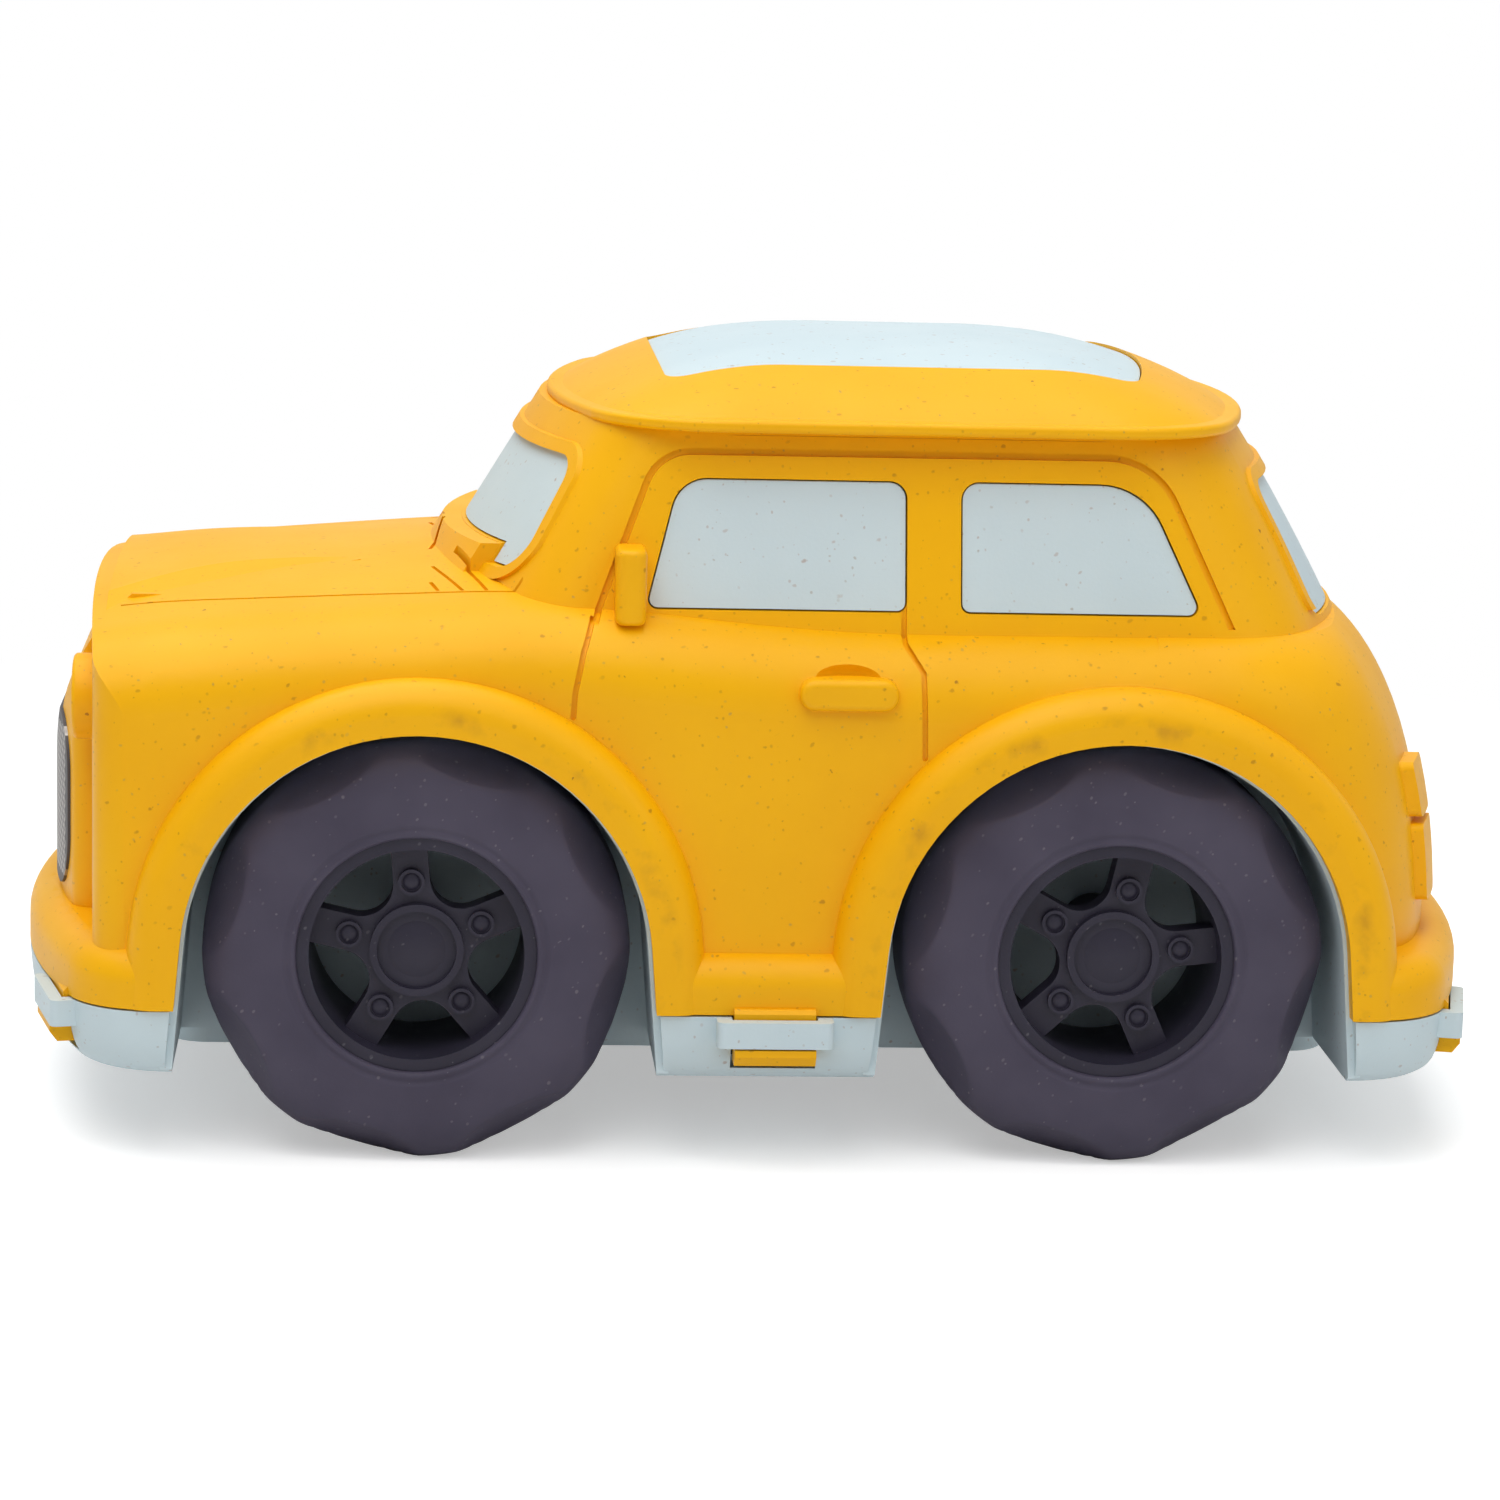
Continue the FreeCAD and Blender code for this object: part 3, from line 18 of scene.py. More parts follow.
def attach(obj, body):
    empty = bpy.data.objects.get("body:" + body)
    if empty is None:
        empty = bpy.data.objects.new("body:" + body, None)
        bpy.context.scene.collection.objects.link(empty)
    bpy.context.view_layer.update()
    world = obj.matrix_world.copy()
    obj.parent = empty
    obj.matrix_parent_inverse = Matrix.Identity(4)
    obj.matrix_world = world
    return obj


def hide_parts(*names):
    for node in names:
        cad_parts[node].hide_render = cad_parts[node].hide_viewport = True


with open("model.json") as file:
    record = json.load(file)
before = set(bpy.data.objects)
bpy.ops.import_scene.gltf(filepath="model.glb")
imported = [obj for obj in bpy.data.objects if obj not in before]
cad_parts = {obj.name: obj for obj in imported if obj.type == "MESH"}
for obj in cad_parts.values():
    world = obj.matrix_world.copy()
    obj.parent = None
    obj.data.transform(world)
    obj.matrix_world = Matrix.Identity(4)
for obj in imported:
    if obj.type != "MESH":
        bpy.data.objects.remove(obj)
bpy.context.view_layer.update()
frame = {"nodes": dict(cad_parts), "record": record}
nodes = frame["nodes"]
MM = 0.001

# %% Sizes that several cells share, in mm
AXLE_X, AXLE_Z = 34.4, 20.9  # wheel centres: from the car's middle, and above the floor
FLARE_CENTRE_Z, FLARE_CREST = 20.2, 24.6  # centre height of a wheel flare's arc, and its crest radius
TYRE_FACE_Y = 38.0  # outer face of a tyre, from the car's middle
SHOULDER_START = 15.8  # radius where the face of a tyre turns into its shoulder
print("wheel centres at x = +/-", AXLE_X, "mm, z =", AXLE_Z, "mm")

# %% [markdown]
# ## Small helpers for shader trees
#
# Every finish here is a tree of nodes. Two short helpers keep the trees readable: one adds a node
# with its settings, and one starts a material with its Principled shader.

# %% Helpers for shader trees
def colour(red, green, blue):
    """A colour written the way a paint program shows it, from 0 to 255, as Blender's linear colour."""
    def linear(value):
        value = value / 255
        return value / 12.92 if value <= 0.04045 else ((value + 0.055) / 1.055) ** 2.4
    return (linear(red), linear(green), linear(blue), 1.0)


def add(tree, kind, inputs=None, **settings):
    """Adds a node. Inputs is {socket name or number: a value or another node's output}."""
    node = tree.nodes.new(kind)
    for key, value in settings.items():
        setattr(node, key, value)
    for key, value in (inputs or {}).items():
        if isinstance(value, bpy.types.NodeSocket):
            tree.links.new(value, node.inputs[key])
        else:
            node.inputs[key].default_value = value
    return node


def new_material(name, **constants):
    """A material with one Principled shader, and the shader's constant sockets set on it."""
    material = bpy.data.materials.new(name)
    material.use_nodes = True
    tree = material.node_tree
    shader = tree.nodes["Principled BSDF"]
    for socket, value in constants.items():
        shader.inputs[socket.replace("_", " ")].default_value = value
    return material, tree, shader


def blend_colour(tree, factor, under, over):
    """Lays one colour over another by a mask."""
    mix = add(tree, "ShaderNodeMix", data_type="RGBA")
    for socket, value in ((mix.inputs[0], factor), (mix.inputs[6], under), (mix.inputs[7], over)):
        if isinstance(value, bpy.types.NodeSocket):
            tree.links.new(value, socket)
        else:
            socket.default_value = value
    return mix.outputs[2]


def math_node(tree, operation, first, second=0.0):
    """One Math node."""
    return add(tree, "ShaderNodeMath", {0: first, 1: second}, operation=operation).outputs[0]


def new_group(name, inputs, outputs):
    """A shader node group with named sockets. Returns the tree, its inputs and its output node."""
    group = bpy.data.node_groups.new(name, "ShaderNodeTree")
    for label, default in inputs:
        socket = group.interface.new_socket(label, in_out="INPUT", socket_type="NodeSocketFloat")
        socket.default_value = default
    for label in outputs:
        group.interface.new_socket(label, in_out="OUTPUT", socket_type="NodeSocketFloat")
    entry = group.nodes.new("NodeGroupInput")
    leave = group.nodes.new("NodeGroupOutput")
    return group, entry.outputs, leave.inputs


def use_group(tree, group, **values):
    """Places a group in a material, with its own values."""
    node = tree.nodes.new("ShaderNodeGroup")
    node.node_tree = group
    for key, value in values.items():
        node.inputs[key].default_value = value
    return node.outputs


# %% [markdown]
# ## Shared effects
#
# Plant fibre shows in the plastic as sparse flecks, some long and some round. A 3-D cell pattern
# gives them: each cell holds one point, a fleck is drawn close to the point, and only a share of the
# cells have one. Because the pattern fills space, a curved panel cuts through it the way a moulding
# cuts through its fibres.
#
# The moulding also has a faint cloudy tone and a fine satin grain. Both come from noise at two scales.

# %% Fibre flecks
def make_flecks():
    group, given, result = new_group(
        "fibre_flecks",
        [("Scale", 500.0), ("Size", 0.16), ("Share", 0.4), ("Length", 1.5), ("Turn", 0.0)],
        ["Mask"])
    place = add(group, "ShaderNodeTexCoord").outputs["Object"]
    turned = add(group, "ShaderNodeVectorRotate", {"Vector": place, "Axis": (0.5, 0.7, 0.5),
                                                   "Angle": given["Turn"]}, rotation_type="AXIS_ANGLE")
    squeeze = add(group, "ShaderNodeCombineXYZ", {0: math_node(group, "DIVIDE", 1.0, given["Length"]),
                                                  1: 1.0, 2: 1.0})
    pressed = add(group, "ShaderNodeVectorMath", {0: turned.outputs[0], 1: squeeze.outputs[0]},
                  operation="MULTIPLY")
    wobble = add(group, "ShaderNodeTexNoise", {"Vector": place, "Scale": 1500.0, "Detail": 2.0})
    centred = add(group, "ShaderNodeVectorMath", {0: wobble.outputs["Color"], 1: (0.5, 0.5, 0.5)},
                  operation="SUBTRACT")
    shift = add(group, "ShaderNodeVectorMath", {0: centred.outputs[0]}, operation="SCALE")
    group.links.new(math_node(group, "DIVIDE", 0.35, given["Scale"]), shift.inputs["Scale"])
    moved = add(group, "ShaderNodeVectorMath", {0: pressed.outputs[0], 1: shift.outputs[0]},
                operation="ADD")
    cells = add(group, "ShaderNodeTexVoronoi", {"Vector": moved.outputs[0], "Scale": given["Scale"]})
    lot = add(group, "ShaderNodeSeparateColor", {0: cells.outputs["Color"]})
    reach = math_node(group, "MULTIPLY", given["Size"], math_node(group, "ADD", lot.outputs[1], 0.4))
    near = math_node(group, "DIVIDE", cells.outputs["Distance"], reach)
    dot = add(group, "ShaderNodeMapRange", {"Value": near, "From Min": 1.0, "From Max": 0.55})
    chosen = math_node(group, "LESS_THAN", lot.outputs[0], given["Share"])
    strength = add(group, "ShaderNodeMapRange", {"Value": lot.outputs[2], "To Min": 0.35, "To Max": 1.0})
    mask = math_node(group, "MULTIPLY", math_node(group, "MULTIPLY", dot.outputs[0], chosen),
                     strength.outputs[0])
    group.links.new(mask, result["Mask"])
    return group


fibre_flecks = make_flecks()
print("group:", fibre_flecks.name)

# %% Moulded grain
def make_grain():
    group, given, result = new_group(
        "moulded_grain", [("Cloud Scale", 60.0), ("Grain Scale", 2600.0)], ["Cloud", "Height"])
    place = add(group, "ShaderNodeTexCoord").outputs["Object"]
    cloud = add(group, "ShaderNodeTexNoise", {"Vector": place, "Scale": given["Cloud Scale"],
                                              "Detail": 3.0})
    tone = add(group, "ShaderNodeMapRange", {"Value": cloud.outputs[0], "From Min": 0.3, "From Max": 0.7})
    fine = add(group, "ShaderNodeTexNoise", {"Vector": place, "Scale": given["Grain Scale"], "Detail": 2.0})
    wave = math_node(group, "MULTIPLY", cloud.outputs[0], 3.0)
    group.links.new(tone.outputs[0], result["Cloud"])
    group.links.new(math_node(group, "ADD", fine.outputs[0], wave), result["Height"])
    return group


moulded_grain = make_grain()
print("group:", moulded_grain.name)

# %% [markdown]
# ## The two fibre plastics
#
# Both plastics are the same recipe in different colours: a base tone with a faint cloud, warm brown
# flecks, a few grey ones, and a satin surface with a little grain.

# %% Fibre plastics
# each layer of flecks: cells per metre, size, share of cells, length, turn, colour and strength
FLECK_LAYERS = ((820.0, 0.15, 0.55, 1.5, 0.6, "brown", 0.48), (1400.0, 0.18, 0.50, 1.2, 2.1, "brown", 0.36),
                (900.0, 0.13, 0.42, 2.6, 4.0, "grey", 0.55), (420.0, 0.085, 0.30, 1.4, 5.2, "brown", 0.80))
SATIN = 0.22  # how much the plastics mirror: under the usual 0.5, because the moulding is matt


def fibre_plastic(name, base, shade, brown, grey, amount, roughness):
    """A flecked plastic. Amount scales the share of cells that hold a fleck."""
    material, tree, shader = new_material(name, Specular_IOR_Level=SATIN)
    grain = use_group(tree, moulded_grain)
    tone = blend_colour(tree, grain["Cloud"], base, shade)
    tint = {"brown": brown, "grey": grey}
    for scale, size, share, length, turn, kind, weight in FLECK_LAYERS:
        flecks = use_group(tree, fibre_flecks, Scale=scale, Size=size, Share=share * amount,
                           Length=length, Turn=turn)
        tone = blend_colour(tree, math_node(tree, "MULTIPLY", flecks["Mask"], weight), tone, tint[kind])
    rough = add(tree, "ShaderNodeMapRange", {"Value": grain["Cloud"], "To Min": roughness - 0.04,
                                             "To Max": roughness + 0.05})
    tree.links.new(rough.outputs[0], shader.inputs["Roughness"])
    bump = add(tree, "ShaderNodeBump", {"Height": grain["Height"], "Strength": 0.12, "Distance": 0.0001})
    tree.links.new(bump.outputs[0], shader.inputs["Normal"])
    return material, tree, shader, tone


def plain_plastic(*recipe):
    """A fibre plastic with nothing laid over its flecks."""
    material, tree, shader, tone = fibre_plastic(*recipe)
    tree.links.new(tone, shader.inputs["Base Color"])
    return material


# %% [markdown]
# The body rubs against the box and the hand on its wheel flares. A ring in the car's side view picks
# out the crest of each flare, and noise breaks the ring into brown scuffs.

# %% Yellow plastic with scuffed flares
def scuffed_plastic(*recipe):
    """The fibre plastic with brown scuffs on the outer crests of the wheel flares."""
    material, tree, shader, tone = fibre_plastic(*recipe)
    place = add(tree, "ShaderNodeTexCoord").outputs["Object"]
    axis = add(tree, "ShaderNodeSeparateXYZ", {0: place}).outputs
    from_axle = math_node(tree, "SUBTRACT", math_node(tree, "ABSOLUTE", axis[0]), AXLE_X * MM)
    above = math_node(tree, "SUBTRACT", axis[2], FLARE_CENTRE_Z * MM)
    squares = math_node(tree, "ADD", math_node(tree, "MULTIPLY", from_axle, from_axle),
                        math_node(tree, "MULTIPLY", above, above))
    radius = math_node(tree, "SQRT", squares)
    off_crest = math_node(tree, "ABSOLUTE", math_node(tree, "SUBTRACT", radius, FLARE_CREST * MM))
    ring = add(tree, "ShaderNodeMapRange", {"Value": off_crest, "From Min": 1.5 * MM, "From Max": 0.2 * MM})
    outside = add(tree, "ShaderNodeMapRange", {"Value": math_node(tree, "ABSOLUTE", axis[1]),
                                               "From Min": 38.9 * MM, "From Max": 39.8 * MM})
    broken = add(tree, "ShaderNodeTexNoise", {"Vector": place, "Scale": 260.0, "Detail": 4.0})
    patch = add(tree, "ShaderNodeMapRange", {"Value": broken.outputs[0], "From Min": 0.55, "From Max": 0.72})
    crest = math_node(tree, "MULTIPLY", ring.outputs[0], outside.outputs[0])
    scuff = math_node(tree, "MULTIPLY", crest, patch.outputs[0])
    tone = blend_colour(tree, math_node(tree, "MULTIPLY", scuff, 0.34), tone, colour(150, 98, 34))
    tree.links.new(tone, shader.inputs["Base Color"])
    return material


yellow_plastic = scuffed_plastic("yellow_bioplastic", colour(245, 181, 0), colour(240, 174, 0),
                                 colour(140, 78, 22), colour(168, 140, 84), 1.0, 0.42)
pale_plastic = plain_plastic("pale_bioplastic", colour(203, 219, 224), colour(196, 213, 219),
                             colour(150, 94, 50), colour(150, 138, 120), 0.8, 0.45)
print("plastics:", yellow_plastic.name, pale_plastic.name)

# %% [markdown]
# ## Wheels
#
# Rims and tyres are moulded in one dark violet grey. The rim's colour is set darker than the tyre's:
# that is painted shade, for the shade that falls in the wheel's hollow. The rim is a satin plastic, and
# the tyre a softer, rougher one that picks up pale dust.

# %% Wheel finishes
def wheel_finish(name, base, shade, roughness, dust):
    """A dark moulding. Dust is the share of cells that hold a pale speck."""
    material, tree, shader = new_material(name, Specular_IOR_Level=0.3)
    grain = use_group(tree, moulded_grain, **{"Cloud Scale": 110.0, "Grain Scale": 3200.0})
    tone = blend_colour(tree, grain["Cloud"], base, shade)
    specks = use_group(tree, fibre_flecks, Scale=1700.0, Size=0.24, Share=dust, Length=1.4, Turn=1.0)
    tone = blend_colour(tree, math_node(tree, "MULTIPLY", specks["Mask"], 0.22), tone,
                        colour(165, 160, 165))
    tree.links.new(tone, shader.inputs["Base Color"])
    rough = add(tree, "ShaderNodeMapRange", {"Value": grain["Cloud"], "To Min": roughness - 0.05,
                                             "To Max": roughness + 0.05})
    tree.links.new(rough.outputs[0], shader.inputs["Roughness"])
    bump = add(tree, "ShaderNodeBump", {"Height": grain["Height"], "Strength": 0.15, "Distance": 0.0001})
    tree.links.new(bump.outputs[0], shader.inputs["Normal"])
    return material


# the rim's two colours are painted shade: the tyre's moulding, darkened for the shade in the hub
rim_plastic_painted_shade = wheel_finish("wheel_plastic", colour(50, 47, 62), colour(44, 41, 55), 0.42, 0.14)
tyre_rubber = wheel_finish("tyre_rubber", colour(76, 71, 88), colour(67, 62, 79), 0.55, 0.22)
print("wheel finishes:", rim_plastic_painted_shade.name, tyre_rubber.name)

# %% [markdown]
# ## Stickers, steel and the motor
#
# The grille and headlamp stickers are printed as silver wire mesh. Crossed bands on the sticker's own
# face, in the car's width and height, draw the wires, and darkness shows between them.
#
# The motor pieces are hidden in the car, but they show when it is taken apart, so each has a plain
# honest finish: turned steel for axles and screws, blued spring steel, and natural plastic gears.

# %% Mesh sticker
WIRES_PER_METRE = 720.0
GRILLE_HALF_WIDTH, GRILLE_HALF_HEIGHT, GRILLE_MIDDLE_Z = 16.8, 7.7, 31.35  # mesh inside the border, mm
GRILLE_TOP_Z, GRILLE_REACH_Y = 40.6, 18.4  # the headlamp stickers lie beyond these, mm


def sticker_finish():
    """Crossed silver wires over darkness, with a dark border round the grille."""
    material, tree, shader = new_material("mesh_sticker")
    place = add(tree, "ShaderNodeSeparateXYZ", {0: add(tree, "ShaderNodeTexCoord").outputs["Object"]}).outputs
    wires = []
    for sign in (1, -1):
        along = math_node(tree, "MULTIPLY", place[1], float(sign))
        across = math_node(tree, "MULTIPLY", math_node(tree, "ADD", along, place[2]),
                           WIRES_PER_METRE)
        triangle = math_node(tree, "PINGPONG", across, 0.5)
        wire = add(tree, "ShaderNodeMapRange", {"Value": triangle, "From Min": 0.24, "From Max": 0.36})
        wires.append(wire.outputs[0])
    mesh = math_node(tree, "MAXIMUM", *wires)
    # the printed border: everything past the mesh's rectangle, on the grille only
    wide = math_node(tree, "SUBTRACT", math_node(tree, "ABSOLUTE", place[1]),
                     GRILLE_HALF_WIDTH * MM)
    height = math_node(tree, "ABSOLUTE", math_node(tree, "SUBTRACT", place[2], GRILLE_MIDDLE_Z * MM))
    tall = math_node(tree, "SUBTRACT", height, GRILLE_HALF_HEIGHT * MM)
    low_grille = math_node(tree, "LESS_THAN", place[2], GRILLE_TOP_Z * MM)
    inner = math_node(tree, "LESS_THAN", math_node(tree, "ABSOLUTE", place[1]),
                      GRILLE_REACH_Y * MM)
    grille = math_node(tree, "MULTIPLY", low_grille, inner)
    past_mesh = math_node(tree, "GREATER_THAN", math_node(tree, "MAXIMUM", wide, tall), 0.0)
    border = math_node(tree, "MULTIPLY", grille, past_mesh)
    tone = blend_colour(tree, mesh, colour(50, 48, 52), colour(156, 152, 147))
    tone = blend_colour(tree, border, tone, colour(70, 67, 70))
    tree.links.new(tone, shader.inputs["Base Color"])
    bright = math_node(tree, "MULTIPLY", mesh, math_node(tree, "SUBTRACT", 1.0, border))
    tree.links.new(math_node(tree, "MULTIPLY", bright, 0.6), shader.inputs["Metallic"])
    rough = add(tree, "ShaderNodeMapRange", {"Value": bright, "To Min": 0.5, "To Max": 0.34})
    tree.links.new(rough.outputs[0], shader.inputs["Roughness"])
    bump = add(tree, "ShaderNodeBump", {"Height": bright, "Strength": 0.3, "Distance": 0.0001})
    tree.links.new(bump.outputs[0], shader.inputs["Normal"])
    return material


mesh_sticker = sticker_finish()
print("sticker:", mesh_sticker.name)

# %% Metals and gears
def brushed_steel(name, bright, dark, roughness, scale, stretch):
    """Steel with fine marks: noise squeezed along one axis, so that the marks run around or along."""
    material, tree, shader = new_material(name)
    place = add(tree, "ShaderNodeTexCoord").outputs["Object"]
    squeezed = add(tree, "ShaderNodeMapping", {"Vector": place, "Scale": stretch})
    marks = add(tree, "ShaderNodeTexNoise", {"Vector": squeezed.outputs[0], "Scale": scale, "Detail": 4.0})
    tree.links.new(blend_colour(tree, marks.outputs[0], dark, bright), shader.inputs["Base Color"])
    shader.inputs["Metallic"].default_value = 1.0
    rough = add(tree, "ShaderNodeMapRange", {"Value": marks.outputs[0], "To Min": roughness,
                                             "To Max": roughness + 0.15})
    tree.links.new(rough.outputs[0], shader.inputs["Roughness"])
    bump = add(tree, "ShaderNodeBump", {"Height": marks.outputs[0], "Strength": 0.1, "Distance": 0.0001})
    tree.links.new(bump.outputs[0], shader.inputs["Normal"])
    return material


axle_steel = brushed_steel("steel_axle", colour(205, 205, 208), colour(160, 160, 166),
                           0.22, 400.0, (1, 8, 1))
screw_steel = brushed_steel("screw_steel", colour(190, 190, 192), colour(140, 140, 146),
                            0.3, 700.0, (1, 1, 3))
spring_steel = brushed_steel("spring_steel", colour(120, 124, 136), colour(84, 88, 102),
                             0.28, 500.0, (1, 6, 1))
gear_plastic = plain_plastic("gear_plastic", colour(232, 229, 216), colour(224, 220, 205),
                             colour(205, 198, 178), colour(200, 196, 182), 0.2, 0.38)
motor_plastic = plain_plastic("motor_plastic", colour(58, 60, 64), colour(50, 52, 56),
                              colour(74, 74, 76), colour(84, 84, 84), 0.2, 0.5)
print("motor finishes made")

# %% [markdown]
# ## Dressing the pieces
#
# Each CAD node takes the material that its slot in the record names. The meshes stay as they are.

# %% Dress the nodes
finish_of = {
    "yellow_bioplastic": yellow_plastic,
    "pale_bioplastic": pale_plastic,
    "wheel_plastic": rim_plastic_painted_shade,
    "tyre_rubber": tyre_rubber,
    "mesh_sticker": mesh_sticker,
    "steel_axle": axle_steel,
    "gear_plastic": gear_plastic,
    "spring_steel": spring_steel,
    "motor_plastic": motor_plastic,
    "screw_steel": screw_steel,
}
for entry in frame["record"]["subparts"]:
    materials = nodes[entry["node"]].data.materials
    materials.clear()
    materials.append(finish_of[entry["material_slot"]])
    print(f"{entry['node']}: {materials[0].name}")

# %% [markdown]
# ## The tyres, by a rule
#
# A tyre is one profile swept round the axle, with eight shallow scoops pressed into each shoulder.
# That is a rule, so a Geometry Nodes tree draws it: a flat grid is bent into a ring, its rows take
# their radius and depth from the points of the profile, and a round cutter's equation limits the
# radius near each scoop. A smooth minimum of the two radii leaves the soft edge that moulded rubber
# has. The number of scoops and their depth stay open as inputs of the tree.

# %% Profile of the tyre
def shoulder(radius, depth):
    """Points of a rounded shoulder that starts on the face and ends on the crown."""
    rise, squareness, steps = radius - SHOULDER_START, 0.90, 18
    angles = [math.radians(90 * step / steps) for step in range(steps + 1)]
    return [(SHOULDER_START + rise * math.sin(angle) ** squareness,
             depth * (1 - math.cos(angle) ** squareness)) for angle in angles]


def tyre_profile(seat=11.72, crown=20.9, width=16.0, run=3.2):
    """Closed loop of (radius, depth) in mm: seat, lip ring, face, shoulder, crown and back."""
    half = [(seat, 0.3), (11.9, 0.02), (12.25, 0.0), (12.45, 0.16), (12.75, 0.16), (12.95, 0.0)]
    half += [(13.2 + 0.43 * step, 0.0) for step in range(6)]
    half += shoulder(crown, run)
    crown_row = [(crown, run + (width - 2 * run) * step / 12) for step in range(1, 12)]
    back = [(radius, width - depth) for radius, depth in reversed(half)]
    bore = [(seat, width - 0.3 - (width - 0.6) * step / 8) for step in range(1, 9)]
    return half + crown_row + back + bore


profile = tyre_profile()
print("profile points:", len(profile))

# %% Geometry Nodes tree for the tyre
def make_tyre_tree(rows, around=288):
    """The tree that bends a grid into a tyre: one row for each profile point, and so many columns."""
    tree = bpy.data.node_groups.new("scooped_tyre", "GeometryNodeTree")
    tree.interface.new_socket("Profile", in_out="INPUT", socket_type="NodeSocketGeometry")
    for label, kind, default in (
            ("Scoops", "NodeSocketInt", 8), ("Cutter Radius", "NodeSocketFloat", 26.0),
            ("Scoop Start", "NodeSocketFloat", 17.7), ("Scoop Slope", "NodeSocketFloat", 0.66),
            ("Softness", "NodeSocketFloat", 0.5), ("Width", "NodeSocketFloat", 16.0),
            ("Turn", "NodeSocketFloat", 0.0), ("Finish", "NodeSocketMaterial", None)):
        socket = tree.interface.new_socket(label, in_out="INPUT", socket_type=kind)
        if default is not None:
            socket.default_value = default
    tree.interface.new_socket("Tyre", in_out="OUTPUT", socket_type="NodeSocketGeometry")
    given = tree.nodes.new("NodeGroupInput").outputs
    leave = tree.nodes.new("NodeGroupOutput").inputs

    def calc(operation, first, second=0.0, third=0.0):
        return add(tree, "ShaderNodeMath", {0: first, 1: second, 2: third}, operation=operation).outputs[0]

    grid = add(tree, "GeometryNodeMeshGrid", {"Size X": 1.0, "Size Y": 1.0, "Vertices X": around + 1,
                                              "Vertices Y": rows})
    flat = add(tree, "ShaderNodeSeparateXYZ", {0: add(tree, "GeometryNodeInputPosition").outputs[0]}).outputs
    angle = calc("MULTIPLY", calc("ADD", flat[0], 0.5), 2 * math.pi)
    row = calc("ROUND", calc("MULTIPLY", calc("ADD", flat[1], 0.5), rows - 1.0))
    lookup = add(tree, "GeometryNodeSampleIndex", data_type="FLOAT_VECTOR", domain="POINT")
    tree.links.new(given["Profile"], lookup.inputs["Geometry"])
    spot = add(tree, "GeometryNodeInputPosition").outputs[0]
    tree.links.new(spot, lookup.inputs["Value"])
    tree.links.new(row, lookup.inputs["Index"])
    place = add(tree, "ShaderNodeSeparateXYZ", {0: lookup.outputs["Value"]}).outputs
    radius, deep = place[0], place[1]
    # depth measured from the nearer face, and the angle from the nearest scoop's middle
    edge = calc("MINIMUM", deep, calc("SUBTRACT", given["Width"], deep))
    pitch = calc("DIVIDE", 2 * math.pi, given["Scoops"])
    offset = calc("SUBTRACT", angle, given["Turn"])
    off = calc("SUBTRACT", calc("FLOORED_MODULO", calc("ADD", offset, calc("MULTIPLY", pitch, 0.5)), pitch),
               calc("MULTIPLY", pitch, 0.5))
    floor_radius = calc("ADD", calc("MULTIPLY", edge, given["Scoop Slope"]), given["Scoop Start"])
    reach = calc("ADD", floor_radius, given["Cutter Radius"])
    side = calc("MULTIPLY", reach, calc("SINE", off))
    under = calc("SUBTRACT", calc("MULTIPLY", given["Cutter Radius"], given["Cutter Radius"]),
                 calc("MULTIPLY", side, side))
    limit = calc("SUBTRACT", calc("MULTIPLY", reach, calc("COSINE", off)),
                 calc("SQRT", calc("MAXIMUM", under, 0.0)))
    scooped = calc("MINIMUM", calc("SMOOTH_MIN", radius, limit, given["Softness"]), radius)
    on_shoulder = calc("GREATER_THAN", radius, SHOULDER_START + 0.1)
    final = calc("ADD", calc("MULTIPLY", scooped, on_shoulder),
                 calc("MULTIPLY", radius, calc("SUBTRACT", 1.0, on_shoulder)))
    bent = add(tree, "ShaderNodeCombineXYZ", {0: calc("MULTIPLY", final, calc("COSINE", angle)), 1: deep,
                                              2: calc("MULTIPLY", final, calc("SINE", angle))})
    metres = add(tree, "ShaderNodeVectorMath", {0: bent.outputs[0]}, operation="SCALE")
    metres.inputs["Scale"].default_value = MM
    ring = add(tree, "GeometryNodeSetPosition", {"Geometry": grid.outputs["Mesh"],
                                                 "Position": metres.outputs[0]})
    closed = add(tree, "GeometryNodeMergeByDistance", {"Geometry": ring.outputs[0], "Distance": 0.000002})
    smooth = add(tree, "GeometryNodeSetShadeSmooth", {"Geometry": closed.outputs[0]})
    whole = add(tree, "GeometryNodeRealizeInstances", {"Geometry": smooth.outputs[0]})
    dressed = add(tree, "GeometryNodeSetMaterial", {"Geometry": whole.outputs[0],
                                                    "Material": given["Finish"]})
    tree.links.new(dressed.outputs[0], leave["Tyre"])
    return tree


tyre_tree = make_tyre_tree(len(profile))
print("tyre tree nodes:", len(tyre_tree.nodes))

# %% Run the tree for one tyre
def curve_of(points):
    """A string of loose points, x for the radius and y for the depth, for the tree to look up."""
    mesh = bpy.data.meshes.new("tyre_profile")
    mesh.from_pydata([(radius, deep, 0.0) for radius, deep in points], [], [])
    return mesh


def grown(mesh, tree, **inputs):
    """Runs a tree on a mesh and returns the finished mesh."""
    worker = bpy.data.objects.new("worker", mesh)
    bpy.context.scene.collection.objects.link(worker)
    modifier = worker.modifiers.new("rule", "NODES")
    modifier.node_group = tree
    for item in tree.interface.items_tree:
        if item.in_out == "INPUT" and item.name in inputs:
            modifier[item.identifier] = inputs[item.name]
    worker.update_tag()
    graph = bpy.context.evaluated_depsgraph_get()
    ready = worker.evaluated_get(graph)
    result = bpy.data.meshes.new_from_object(ready, preserve_all_data_layers=True, depsgraph=graph)
    bpy.data.objects.remove(worker)
    # the tree's own grid brings an empty material slot along
    while result.materials[0] is None:
        result.materials.pop(index=0)
    result.polygons.foreach_set("material_index", [0] * len(result.polygons))
    return result


